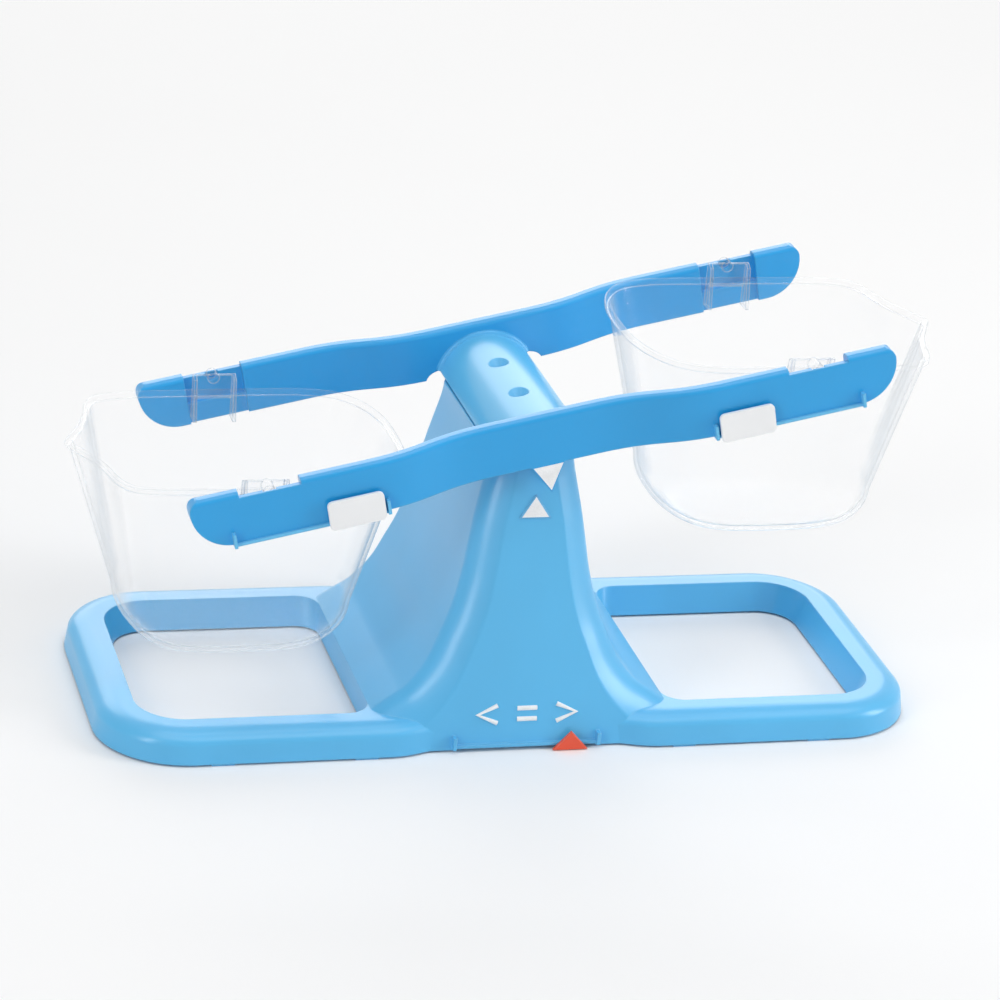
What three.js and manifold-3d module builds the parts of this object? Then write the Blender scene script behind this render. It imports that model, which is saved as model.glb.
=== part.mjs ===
// Bucket balance for early maths: a hollow base with two open loops and a flared tower,
// a rocking beam whose side arms are bridged by a hood over the tower, two clear pouring
// buckets hung between the arms, two compensators and a comparison indicator that slide.
// Millimetres. +Z is up, +X runs along the beam to the right, -Y is the front.
// The origin is on the resting plane, under the middle of the base.
// The beam is drawn at rest on its left stop, with the buckets hanging level.

import * as THREE from 'three';
import { mergeVertices } from 'three/addons/utils/BufferGeometryUtils.js';
import Module from 'manifold-3d';

const wasm = await Module();
wasm.setup();

// Materials
const base_blue = 0x6cbcee;
const beam_blue = 0x3f9fe0;
const bucket_clear = 0xeaf2f6;
const slider_white = 0xf1f3f5;
const indicator_red = 0xea5a34;

// Shared fits
const overrun = 1;
const fit_gap = 0.35;
const weld_gap = 0.001;
const curve_steps = 6;

// Base plan and rails
const base_length = 325;
const base_depth = 136;
const base_corner_radius = 34;
const base_wall = 2.2;
const rail_height = 12.5;
const rail_width = 19.6;
const rail_skirt_height = 7.5;
const rail_skirt_draft = 1;
const rail_shoulder_width = 9;
const rail_inner_draft = 4.3;
const rail_shoulder_steps = 4;
const loop_corner_radius = 14.4;
const loop_tower_radius = 9;
const waist_inner_half = 29;
const waist_outer_half = 55;
const waist_depth = 4.5;

// Feet under the rails
const foot_height = 0.8;
const foot_length = 9;
const foot_width = 3.2;
const foot_inner_place = 63;
const foot_outer_place = 118;

// Tower
const tower_foot_half = 58.6;
const tower_top_half = 16.8;
const tower_top_height = 112.1;
const tower_foot_stand = 1;
const tower_top_half_depth = 44.2;
const tower_edge_radius_foot = 12.5;
const tower_edge_radius_top = 10;
const tower_edge_crease_share = 0.5;
const tower_edge_steps = 6;
const tower_side_steps = 14;
// Height up the flare and how far out it is there, from the foot to the top
const tower_flare_shares = [
  [0, 1],
  [0.045, 0.842],
  [0.095, 0.675],
  [0.185, 0.507],
  [0.295, 0.388],
  [0.395, 0.292],
  [0.524, 0.208],
  [0.664, 0.148],
  [0.774, 0.1],
  [0.934, 0.017],
  [1, 0],
];

// Pivot, and the neck of the tower that carries it
const pivot_height = 122.3;
const tilt_angle = THREE.MathUtils.degToRad(12.23);
const neck_half_depth = 43.5;
const neck_flat_rise = 1.5;
const cone_place = 15.3;
const cone_tip_radius = 0.4;
const cone_root_radius = 3.4;
const pit_tip_gap = 0.4;
const pit_tip_radius = 0.5;
const pit_mouth_radius = 3.6;
const pit_boss_radius = 6;
const pit_boss_depth = 3.4;

// Hood of the beam
const hood_radius = 19.6;
const hood_wall = 2.2;
const hood_top_rise = 5.5;
const hood_skirt_drop = 6;
const dimple_radius = 3.75;
const dimple_floor_radius = 0.75;
const dimple_depth = 3.9;

// Arms of the beam
const arm_half_length = 136.5;
const arm_straight_half = 121;
const arm_top_rise = 10.5;
const arm_bottom_drop = 9.5;
const arm_outer_half = 60;
const arm_waist_half = 52;
const arm_bow_start = 20;
const arm_bow_end = 70;
const arm_thickness = 6.5;
const arm_wall = 1.8;
const arm_steps = 8;
const arm_end_radius = 4.5;
const arm_relief_half = 23;
const arm_relief_radius = 7;

// Saddles that carry the buckets
const hang_place = 106;
const hang_rise = 8;
const saddle_length = 23.4;
const saddle_drop = 1.9;
const saddle_block_length = 28;
const saddle_block_height = 13;
const recess_depth = 1.6;
const slot_end_wall = 1.1;

// Track for the compensators, on the front arm
const lip_start = 63;
const lip_end = 122.5;
const lip_height = 1.2;
const lip_drop = 0.6;
const lip_stand = 1;
const stop_width = 1.2;
const stop_height = 5.6;
const stop_stand = 2.6;

// Pointer under the front arm and pad on the tower
const pointer_half_width = 6.5;
const pointer_drop = 11.4;
const pointer_root = 2;
const pointer_thickness = 2;
const pad_half_width = 6;
const pad_base_height = 89.8;
const pad_apex_height = 98.6;
const pad_stand = 0.6;

// Compensators
const comp_length = 21.5;
const comp_height = 11.5;
const comp_corner_radius = 2;
const comp_plate = 1.7;
const comp_web = 1.1;
const comp_leg = 1;
const comp_leg_height = 7.5;
const comp_start_gap = 0.8;

// Track and indicator at the foot of the tower
const track_half = 28.5;
const track_lift = 1.6;
const track_lip_height = 1.4;
const track_lip_stand = 1;
const track_stop_width = 1.4;
const track_stop_height = 5;
const track_stop_stand = 2.4;
const indicator_half_width = 7;
const indicator_height = 7.6;
const indicator_plate = 1.5;
const indicator_web = 0.9;
const indicator_leg = 1.2;
const indicator_leg_height = 5;
const indicator_place = 17.2;

// Buckets
const bucket_spout_reach = 65.5;
const bucket_inner_reach = 61.1;
const bucket_half_width = 48.6;
const bucket_wall = 1.7;
const bucket_height = 78;
const bucket_rim_drop = 3;
const bucket_knuckle_height = 17;
const bucket_rim_lip = 0.9;
const bucket_rim_lip_height = 2;
const bucket_outline_points = 52;
const bucket_side_steps = 1;
const bucket_knuckle_steps = 5;
// Half outlines from the spout to the inner end, as shares of reach and half width
const bucket_rim_shares = [
  [1, 0],
  [0.955, 0.15],
  [0.885, 0.35],
  [0.838, 0.55],
  [0.8, 0.77],
  [0.735, 0.915],
  [0.6, 0.975],
  [0.2, 0.997],
  [-0.22, 1],
  [-0.58, 0.985],
  [-0.77, 0.9],
  [-0.9, 0.7],
  [-0.982, 0.38],
  [-1, 0],
];
const bucket_knuckle_shares = [
  [0.7, 0],
  [0.695, 0.12],
  [0.68, 0.25],
  [0.655, 0.4],
  [0.61, 0.56],
  [0.54, 0.67],
  [0.42, 0.74],
  [0.16, 0.77],
  [-0.16, 0.77],
  [-0.4, 0.745],
  [-0.56, 0.66],
  [-0.67, 0.5],
  [-0.735, 0.26],
  [-0.75, 0],
];
const bucket_floor_shares = [
  [0.4, 0],
  [0.397, 0.08],
  [0.388, 0.17],
  [0.37, 0.27],
  [0.34, 0.36],
  [0.29, 0.42],
  [0.21, 0.455],
  [0.08, 0.47],
  [-0.08, 0.47],
  [-0.21, 0.455],
  [-0.32, 0.4],
  [-0.39, 0.3],
  [-0.43, 0.16],
  [-0.44, 0],
];

// Ears of the buckets
const pin_radius = 2.2;
const pin_end_gap = 0.4;
const ear_half_width = 8.5;
const ear_wall = 1.4;
const ear_rise = 1.8;
const ear_rib_drop = 16;
const ear_plate_drop = 8;
const ear_root = 44;
const round_steps = 20;

// Values that follow from the sizes above
const side_sign = [-1, 1];
const tower_foot_half_depth = base_depth / 2 - waist_depth + tower_foot_stand;
const hood_inner_radius = hood_radius - hood_wall;
const hood_centre = hood_top_rise - hood_radius;
const arm_inner_half = arm_outer_half - arm_thickness;
const saddle_rise = arm_top_rise - saddle_drop;
const lip_bottom = -arm_bottom_drop - lip_drop;

function toSolid(geometry) {
  geometry.deleteAttribute('normal');
  geometry.deleteAttribute('uv');
  const merged = mergeVertices(geometry);
  const triVerts = [];
  const index = merged.index.array;
  for (let i = 0; i < index.length; i += 3) {
    const [a, b, c] = [index[i], index[i + 1], index[i + 2]];
    if (a !== b && b !== c && c !== a) triVerts.push(a, b, c);
  }
  return new wasm.Manifold(new wasm.Mesh({
    numProp: 3,
    vertProperties: merged.attributes.position.array,
    triVerts: Uint32Array.from(triVerts),
  }));
}

function toGeometry(solid) {
  const mesh = solid.getMesh();
  const geometry = new THREE.BufferGeometry();
  geometry.setAttribute('position', new THREE.BufferAttribute(mesh.vertProperties, 3));
  geometry.setIndex(new THREE.BufferAttribute(mesh.triVerts, 1));
  geometry.computeVertexNormals();
  return geometry;
}

function makeMesh(name, solid, color, roughness, opacity = 1) {
  const transparent = opacity < 1;
  const material = new THREE.MeshStandardMaterial({ color, roughness, opacity, transparent });
  material.metalness = 0;
  const mesh = new THREE.Mesh(toGeometry(solid), material);
  mesh.name = name;
  return mesh;
}

function box(x, y, z) {
  const geometry = new THREE.BoxGeometry(x[1] - x[0], y[1] - y[0], z[1] - z[0]);
  geometry.translate((x[0] + x[1]) / 2, (y[0] + y[1]) / 2, (z[0] + z[1]) / 2);
  return toSolid(geometry);
}

// A flat outline drawn in X and Y, raised along Z
function prismUp(shape, from, to, steps = curve_steps) {
  const options = { depth: to - from, bevelEnabled: false, curveSegments: steps };
  const geometry = new THREE.ExtrudeGeometry(shape, options);
  geometry.translate(0, 0, from);
  return toSolid(geometry);
}

// A flat outline drawn in X and Z, run along Y
function prismBack(shape, from, to, steps = curve_steps) {
  const options = { depth: to - from, bevelEnabled: false, curveSegments: steps };
  const geometry = new THREE.ExtrudeGeometry(shape, options);
  geometry.rotateX(Math.PI / 2);
  geometry.translate(0, to, 0);
  return toSolid(geometry);
}

// A round solid about a vertical axis, from its half profile of [radius, height]
function turned(profile, x, y, z) {
  const points = profile.map(([radius, height]) => new THREE.Vector2(radius, height));
  const geometry = new THREE.LatheGeometry(points, round_steps);
  geometry.rotateX(Math.PI / 2);
  geometry.translate(x, y, z);
  return toSolid(geometry);
}

// A skin over rings of equal count, closed by a flat cap at each end
function loft(rings, flatten) {
  const count = rings[0].length;
  const points = rings.flat();
  const index = [];
  for (let ring = 0; ring + 1 < rings.length; ring += 1) {
    for (let i = 0; i < count; i += 1) {
      const a = ring * count + i;
      const b = ring * count + ((i + 1) % count);
      index.push(a, b, b + count, a, b + count, a + count);
    }
  }
  const last = (rings.length - 1) * count;
  for (const [a, b, c] of THREE.ShapeUtils.triangulateShape(rings[0].map(flatten), [])) {
    index.push(a, c, b);
  }
  for (const [a, b, c] of THREE.ShapeUtils.triangulateShape(rings.at(-1).map(flatten), [])) {
    index.push(last + a, last + b, last + c);
  }
  let volume = 0;
  for (let i = 0; i < index.length; i += 3) {
    const [a, b, c] = [points[index[i]], points[index[i + 1]], points[index[i + 2]]];
    volume += a.dot(b.clone().cross(c));
  }
  if (volume < 0) index.reverse();
  const geometry = new THREE.BufferGeometry().setFromPoints(points);
  geometry.setIndex(index);
  return toSolid(geometry);
}

const seenFromAbove = (point) => new THREE.Vector2(point.x, point.y);
const seenFromFront = (point) => new THREE.Vector2(point.x, point.z);

// Plan of the base, drawn in by a distance, with its waist in front of and behind the tower
function basePlan(inset) {
  const right = base_length / 2 - inset;
  const back = base_depth / 2 - inset;
  const radius = base_corner_radius - inset;
  const waist = back - waist_depth;
  const bend = (waist_outer_half - waist_inner_half) / 2;
  const middle = waist_inner_half + bend;
  const quarter = Math.PI / 2;
  const plan = new THREE.Shape();
  plan.moveTo(-waist_inner_half, -waist);
  plan.lineTo(waist_inner_half, -waist);
  plan.bezierCurveTo(middle, -waist, middle, -back, waist_outer_half, -back);
  plan.lineTo(right - radius, -back);
  plan.absarc(right - radius, radius - back, radius, -quarter, 0, false);
  plan.lineTo(right, back - radius);
  plan.absarc(right - radius, back - radius, radius, 0, quarter, false);
  plan.lineTo(waist_outer_half, back);
  plan.bezierCurveTo(middle, back, middle, waist, waist_inner_half, waist);
  plan.lineTo(-waist_inner_half, waist);
  plan.bezierCurveTo(-middle, waist, -middle, back, -waist_outer_half, back);
  plan.lineTo(radius - right, back);
  plan.absarc(radius - right, back - radius, radius, quarter, 2 * quarter, false);
  plan.lineTo(-right, radius - back);
  plan.absarc(radius - right, radius - back, radius, 2 * quarter, 3 * quarter, false);
  plan.lineTo(-waist_outer_half, -back);
  plan.bezierCurveTo(-middle, -back, -middle, -waist, -waist_inner_half, -waist);
  return plan;
}

// Plan of one loop's opening, let out by a distance, on the right side
function loopPlan(grow, towerGrow) {
  const left = tower_foot_half - towerGrow;
  const right = base_length / 2 - rail_width + grow;
  const back = base_depth / 2 - rail_width + grow;
  const outer = loop_corner_radius + grow;
  const inner = loop_tower_radius + towerGrow;
  const quarter = Math.PI / 2;
  const plan = new THREE.Shape();
  plan.moveTo(left + inner, -back);
  plan.lineTo(right - outer, -back);
  plan.absarc(right - outer, outer - back, outer, -quarter, 0, false);
  plan.lineTo(right, back - outer);
  plan.absarc(right - outer, back - outer, outer, 0, quarter, false);
  plan.lineTo(left + inner, back);
  plan.absarc(left + inner, back - inner, inner, quarter, 2 * quarter, false);
  plan.lineTo(left, inner - back);
  plan.absarc(left + inner, inner - back, inner, 2 * quarter, 3 * quarter, false);
  return plan;
}

// The outline's points at one height, without the pairs that its curves share
function ringAt(plan, height) {
  const points = plan.getPoints(curve_steps);
  const kept = points.filter((point, i) => {
    const before = points[(i + points.length - 1) % points.length];
    return point.distanceTo(before) > weld_gap;
  });
  return kept.map((point) => new THREE.Vector3(point.x, point.y, height));
}

// The rails as a full plate: an upright skirt, then a rounded shoulder
function railPlate(wall, bottom) {
  const rings = [ringAt(basePlan(wall), bottom)];
  for (let step = 0; step <= rail_shoulder_steps; step += 1) {
    const angle = (step / rail_shoulder_steps) * (Math.PI / 2);
    const inset = rail_skirt_draft + rail_shoulder_width * (1 - Math.cos(angle));
    const rise = (rail_height - rail_skirt_height) * Math.sin(angle);
    rings.push(ringAt(basePlan(inset + wall), rail_skirt_height + rise - wall));
  }
  return loft(rings, seenFromAbove);
}

// The opening of a loop, wider at the top because its walls are drafted
function loopCutter(side, wall) {
  const top = rail_height + overrun;
  const topGrow = rail_inner_draft * (top / rail_height);
  const bottomGrow = -rail_inner_draft * (overrun / rail_height);
  const rings = [
    ringAt(loopPlan(bottomGrow + wall, wall), -overrun),
    ringAt(loopPlan(topGrow + wall, wall), top),
  ];
  const cutter = loft(rings, seenFromAbove);
  return side > 0 ? cutter : cutter.mirror([1, 0, 0]);
}

// Half outline of the flared side, drawn in along its normals
function towerSide(insetAt, bottom, topInset) {
  const flare = tower_flare_shares.map(([up, out]) => new THREE.Vector2(
    tower_top_half + (tower_foot_half - tower_top_half) * out,
    rail_height + (tower_top_height - rail_height) * up,
  ));
  const curve = new THREE.SplineCurve(flare);
  const side = [new THREE.Vector2(tower_foot_half - insetAt(0), bottom)];
  for (let step = 0; step <= tower_side_steps; step += 1) {
    const share = step / tower_side_steps;
    const point = curve.getPointAt(share);
    const tangent = curve.getTangentAt(share);
    const inset = insetAt(share);
    const x = Math.min(point.x - tangent.y * inset, tower_foot_half - insetAt(0));
    const raised = point.y + tangent.x * inset;
    const top = tower_top_height - topInset;
    const z = step === tower_side_steps ? top : Math.min(raised, top);
    side.push(new THREE.Vector2(x, Math.max(z, bottom)));
  }
  return side;
}

// The tower, lofted from front to back, with long curved edges that meet its flat faces in a crease
function towerBody(wall, bottom) {
  const radiusAt = (share) => THREE.MathUtils.lerp(
    tower_edge_radius_foot,
    tower_edge_radius_top,
    share,
  ) - wall;
  const depthAt = (z) => THREE.MathUtils.lerp(
    tower_foot_half_depth,
    tower_top_half_depth,
    z / tower_top_height,
  ) - wall;
  const ringFor = (step, facing) => {
    const along = step / tower_edge_steps;
    const left = 1 - along;
    const inward = along * along;
    const behind = left * left + 2 * left * along * tower_edge_crease_share;
    const side = towerSide((share) => wall + radiusAt(share) * inward, bottom, wall);
    const half = side.map((point, i) => {
      const share = Math.max(i - 1, 0) / tower_side_steps;
      const back = depthAt(point.y) - radiusAt(share) * behind;
      return new THREE.Vector3(point.x, facing * back, point.y);
    });
    const other = half.map((point) => new THREE.Vector3(-point.x, point.y, point.z));
    return [...half, ...other.reverse()];
  };
  const rings = [];
  for (let step = tower_edge_steps; step >= 0; step -= 1) rings.push(ringFor(step, -1));
  for (let step = 0; step <= tower_edge_steps; step += 1) rings.push(ringFor(step, 1));
  return loft(rings, seenFromFront);
}

// Outline of the neck: the space left inside the hood at both stops
function neckShape(wall, bottom) {
  const radius = hood_inner_radius - fit_gap - wall;
  const drop = -hood_centre;
  const centreX = drop * Math.sin(tilt_angle);
  const centreZ = pivot_height - drop * Math.cos(tilt_angle);
  const flat = pivot_height + neck_flat_rise - wall;
  const startAngle = Math.asin((tower_top_height - overrun - centreZ) / radius);
  const endAngle = Math.asin((flat - centreZ) / radius);
  const shape = new THREE.Shape();
  const right = radius * Math.cos(startAngle) - centreX;
  shape.moveTo(-right, bottom);
  shape.lineTo(right, bottom);
  shape.absarc(-centreX, centreZ, radius, startAngle, endAngle, false);
  shape.absarc(centreX, centreZ, radius, Math.PI - endAngle, Math.PI - startAngle, false);
  return shape;
}

function pivotSeat(y) {
  const flat = neck_flat_rise;
  const tip = -pit_tip_gap;
  const boss = turned([
    [0, tip - pit_boss_depth],
    [pit_tip_radius + pit_boss_depth, tip - pit_boss_depth],
    [pit_boss_radius, flat - base_wall / 2],
    [0, flat - base_wall / 2],
  ], 0, y, pivot_height);
  const slope = (pit_mouth_radius - pit_tip_radius) / (flat - tip);
  const pit = turned([
    [0, tip],
    [pit_tip_radius, tip],
    [pit_mouth_radius + slope * overrun, flat + overrun],
    [0, flat + overrun],
  ], 0, y, pivot_height);
  return { boss, pit };
}

function frontFaceAt(height) {
  const share = height / tower_top_height;
  return -THREE.MathUtils.lerp(tower_foot_half_depth, tower_top_half_depth, share);
}

function uprightTriangle(halfWidth, base, apex) {
  const shape = new THREE.Shape();
  shape.moveTo(-halfWidth, base);
  shape.lineTo(halfWidth, base);
  shape.lineTo(0, apex);
  return shape;
}

// A triangular pad that lies along the sloping front face
function towerPad() {
  const front = frontFaceAt(pad_base_height) - pad_stand;
  const back = frontFaceAt(pad_apex_height) + base_wall / 2;
  const pad = prismBack(uprightTriangle(pad_half_width, pad_base_height, pad_apex_height), front, back);
  const stand = towerBody(-pad_stand, foot_height);
  return pad.intersect(stand);
}

function trackLip() {
  const face = frontFaceAt(track_lift);
  const z = [track_lift, track_lift + track_lip_height];
  return box([-track_half, track_half], [face - track_lip_stand, face + base_wall / 2], z);
}

function trackStop(side) {
  const face = frontFaceAt(track_lift);
  const x = side * track_half;
  const z = [track_lift, track_lift + track_stop_height];
  const width = track_stop_width / 2;
  return box([x - width, x + width], [face - track_stop_stand, face + base_wall / 2], z);
}

function footPad(sideX, sideY, place) {
  const x = sideX * place;
  const edge = sideY * (base_depth / 2 - rail_skirt_draft / 2);
  const inner = edge - sideY * foot_width;
  const y = [Math.min(edge, inner), Math.max(edge, inner)];
  return box([x - foot_length / 2, x + foot_length / 2], y, [0, foot_height + base_wall]);
}

function makeBase() {
  let outer = railPlate(0, foot_height).add(towerBody(0, foot_height));
  outer = outer.add(prismBack(neckShape(0, tower_top_height - overrun), -neck_half_depth, neck_half_depth));
  let hollow = railPlate(base_wall, -overrun).add(towerBody(base_wall, -overrun));
  const neckInside = neck_half_depth - base_wall;
  const neckRoot = tower_top_height - base_wall - overrun;
  hollow = hollow.add(prismBack(neckShape(base_wall, neckRoot), -neckInside, neckInside));
  for (const side of side_sign) {
    outer = outer.subtract(loopCutter(side, 0));
    hollow = hollow.subtract(loopCutter(side, base_wall));
    const seat = pivotSeat(side * cone_place);
    hollow = hollow.subtract(seat.boss);
    outer = outer.subtract(seat.pit);
  }
  const gate = frontFaceAt(0) + 2 * base_wall;
  let base = outer.subtract(hollow);
  const gateHalf = track_half - track_stop_width / 2;
  base = base.subtract(box([-gateHalf, gateHalf], [-base_depth, gate], [-overrun, track_lift]));
  base = base.add(trackLip()).add(towerPad());
  for (const sideX of side_sign) {
    base = base.add(trackStop(sideX));
    for (const sideY of side_sign) {
      base = base.add(footPad(sideX, sideY, foot_inner_place));
      base = base.add(footPad(sideX, sideY, foot_outer_place));
    }
  }
  return makeMesh('base', base, base_blue, 0.35);
}

// Side view of an arm, drawn in by a wall and let down below its open edge
function armSide(wall, below) {
  const bottom = -arm_bottom_drop - below;
  const length = arm_half_length - arm_straight_half;
  const middle = arm_top_rise - arm_end_radius;
  const height = middle + arm_bottom_drop;
  const straight = arm_straight_half - wall;
  const radius = arm_end_radius - wall;
  const corner = arm_half_length - arm_end_radius;
  const quarter = Math.PI / 2;
  const side = new THREE.Shape();
  side.moveTo(-straight, bottom);
  side.lineTo(straight, bottom);
  side.lineTo(straight, -arm_bottom_drop);
  side.absellipse(straight, middle, length, height, -quarter, 0, false);
  side.absarc(corner, middle, radius, 0, quarter, false);
  side.absarc(-corner, middle, radius, quarter, 2 * quarter, false);
  side.absellipse(-straight, middle, length, height, 2 * quarter, 3 * quarter, false);
  side.lineTo(-straight, bottom);
  return side;
}

// Plan of the back arm between two distances from its outer face, bowed in at the middle
function armPlan(outerWall, thickness) {
  const outer = arm_outer_half - outerWall;
  const waist = arm_waist_half - outerWall;
  const end = arm_half_length + overrun;
  const middle = (arm_bow_start + arm_bow_end) / 2;
  const plan = new THREE.Shape();
  plan.moveTo(end, outer);
  plan.lineTo(arm_bow_end, outer);
  plan.bezierCurveTo(middle, outer, middle, waist, arm_bow_start, waist);
  plan.lineTo(-arm_bow_start, waist);
  plan.bezierCurveTo(-middle, waist, -middle, outer, -arm_bow_end, outer);
  plan.lineTo(-end, outer);
  plan.lineTo(-end, outer - thickness);
  plan.lineTo(-arm_bow_end, outer - thickness);
  plan.bezierCurveTo(-middle, outer - thickness, -middle, waist - thickness, -arm_bow_start, waist - thickness);
  plan.lineTo(arm_bow_start, waist - thickness);
  plan.bezierCurveTo(middle, waist - thickness, middle, outer - thickness, arm_bow_end, outer - thickness);
  plan.lineTo(end, outer - thickness);
  return plan;
}

// The cut for one bucket: lowered saddle, recess in the inner face and slot for the pin
function saddleCut(side) {
  const centre = side * hang_place;
  const half = saddle_length / 2;
  const x = [centre - half, centre + half];
  const top = arm_top_rise + overrun;
  const step = box(x, [arm_inner_half - overrun, arm_outer_half + overrun], [saddle_rise, top]);
  const bottom = -arm_bottom_drop - overrun;
  const recess = box(x, [arm_inner_half - overrun, arm_inner_half + recess_depth], [bottom, top]);
  const radius = pin_radius + fit_gap;
  const slot = new THREE.Shape();
  slot.moveTo(centre - radius, top);
  slot.lineTo(centre - radius, hang_rise);
  slot.absarc(centre, hang_rise, radius, Math.PI, 2 * Math.PI, false);
  slot.lineTo(centre + radius, top);
  const slotEnd = arm_outer_half - slot_end_wall;
  return step.add(recess).add(prismBack(slot, arm_inner_half - overrun, slotEnd));
}

function makeArm() {
  const band = prismUp(armPlan(0, arm_thickness), -arm_half_length, arm_half_length, arm_steps);
  const inner = armPlan(arm_wall, arm_thickness - 2 * arm_wall);
  const innerBand = prismUp(inner, -arm_half_length, arm_half_length, arm_steps);
  const depth = [0, arm_outer_half + overrun];
  let arm = prismBack(armSide(0, 0), ...depth, arm_steps).intersect(band);
  let hollow = prismBack(armSide(arm_wall, overrun), ...depth, arm_steps).intersect(innerBand);
  for (const side of side_sign) {
    const half = saddle_block_length / 2;
    const x = [side * hang_place - half, side * hang_place + half];
    const z = [arm_top_rise - saddle_block_height, arm_top_rise];
    hollow = hollow.subtract(box(x, depth, z));
    const backing = [arm_inner_half, arm_inner_half + recess_depth + arm_wall / 2];
    hollow = hollow.subtract(box(x, backing, [-arm_bottom_drop - 2 * overrun, arm_top_rise]));
  }
  arm = arm.subtract(hollow);
  for (const side of side_sign) arm = arm.subtract(saddleCut(side));
  return arm;
}

// The lip that a compensator rides on, with a stop at each end
function compensatorTrack(side) {
  const face = -arm_outer_half;
  const rootY = face + arm_wall;
  const span = (from, to) => (side > 0 ? [from, to] : [-to, -from]);
  const lipY = [face - lip_stand, rootY];
  const lip = box(span(lip_start, lip_end), lipY, [lip_bottom, lip_bottom + lip_height]);
  const stopY = [face - stop_stand, rootY];
  const stopZ = [lip_bottom, lip_bottom + stop_height];
  const innerStop = box(span(lip_start, lip_start + stop_width), stopY, stopZ);
  const outerStop = box(span(lip_end - stop_width, lip_end), stopY, stopZ);
  return lip.add(innerStop).add(outerStop);
}

function makeHood() {
  const bottom = -hood_skirt_drop;
  const outerAngle = Math.asin((bottom - hood_centre) / hood_radius);
  const innerAngle = Math.asin((bottom - hood_centre) / hood_inner_radius);
  const arch = new THREE.Shape();
  arch.absarc(0, hood_centre, hood_radius, outerAngle, Math.PI - outerAngle, false);
  arch.absarc(0, hood_centre, hood_inner_radius, Math.PI - innerAngle, innerAngle, true);
  const reach = arm_waist_half - arm_thickness + arm_wall / 2;
  let hood = prismBack(arch, -reach, reach);
  const under = hood_top_rise - hood_wall;
  for (const side of side_sign) {
    const cone = turned([
      [0, 0],
      [cone_tip_radius, 0],
      [cone_root_radius, under],
      [cone_root_radius, under + hood_wall / 2],
      [0, under + hood_wall / 2],
    ], 0, side * cone_place, 0);
    const slope = (dimple_radius - dimple_floor_radius) / dimple_depth;
    const dimple = turned([
      [0, hood_top_rise - dimple_depth],
      [dimple_floor_radius, hood_top_rise - dimple_depth],
      [dimple_radius + slope * overrun, hood_top_rise + overrun],
      [0, hood_top_rise + overrun],
    ], 0, side * cone_place, 0);
    hood = hood.add(cone).subtract(dimple);
  }
  return hood;
}

function makePointer() {
  const root = pointer_root - arm_bottom_drop;
  const tip = -arm_bottom_drop - pointer_drop;
  const slope = pointer_half_width / pointer_drop;
  const shape = new THREE.Shape();
  shape.moveTo(-pointer_half_width, root);
  shape.lineTo(-pointer_half_width, -arm_bottom_drop);
  shape.lineTo(-slope * fit_gap, tip);
  shape.lineTo(slope * fit_gap, tip);
  shape.lineTo(pointer_half_width, -arm_bottom_drop);
  shape.lineTo(pointer_half_width, root);
  return prismBack(shape, -arm_waist_half, pointer_thickness - arm_waist_half);
}

// The relief under the middle of the back arm, level with the hood's lower edge
function armRelief() {
  const [bottom, top] = [-arm_bottom_drop - overrun, -hood_skirt_drop];
  const flat = arm_relief_half - arm_relief_radius;
  const shape = new THREE.Shape();
  shape.moveTo(-arm_relief_half - overrun, bottom);
  shape.lineTo(arm_relief_half + overrun, bottom);
  shape.quadraticCurveTo(arm_relief_half, top, flat, top);
  shape.lineTo(-flat, top);
  shape.quadraticCurveTo(-arm_relief_half, top, -arm_relief_half - overrun, bottom);
  return prismBack(shape, 0, arm_outer_half);
}

function makeBeam() {
  const arm = makeArm();
  const backArm = arm.subtract(armRelief());
  let beam = backArm.add(arm.mirror([0, 1, 0])).add(makeHood()).add(makePointer());
  for (const side of side_sign) beam = beam.add(compensatorTrack(side));
  return makeMesh('beam', beam, beam_blue, 0.35);
}

function roundedPlate(length, height, radius) {
  const [right, top] = [length / 2, height / 2];
  const quarter = Math.PI / 2;
  const shape = new THREE.Shape();
  shape.absarc(right - radius, radius - top, radius, -quarter, 0, false);
  shape.absarc(right - radius, top - radius, radius, 0, quarter, false);
  shape.absarc(radius - right, top - radius, radius, quarter, 2 * quarter, false);
  shape.absarc(radius - right, radius - top, radius, 2 * quarter, 3 * quarter, false);
  return shape;
}

// A clip that straddles the lip and the outer wall of the front arm
function makeCompensator(name, side) {
  const plateBack = -arm_outer_half - lip_stand - fit_gap;
  const plateFront = plateBack - comp_plate;
  const webTop = lip_bottom - fit_gap;
  const webBottom = webTop - comp_web;
  const legFront = -arm_outer_half + arm_wall + fit_gap;
  const legBack = legFront + comp_leg;
  const x = [-comp_length / 2, comp_length / 2];
  const plate = prismBack(roundedPlate(comp_length, comp_height, comp_corner_radius), plateFront, plateBack)
    .translate([0, 0, webBottom + comp_height / 2]);
  const inset = [x[0] + comp_corner_radius, x[1] - comp_corner_radius];
  const web = box(inset, [plateFront + comp_plate / 2, legBack], [webBottom, webTop]);
  const leg = box(inset, [legFront, legBack], [webBottom, webBottom + comp_leg_height]);
  const mesh = makeMesh(name, plate.add(web).add(leg), slider_white, 0.4);
  const start = lip_start + stop_width + comp_start_gap + comp_length / 2;
  mesh.position.set(side * start, 0, 0);
  return mesh;
}

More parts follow.
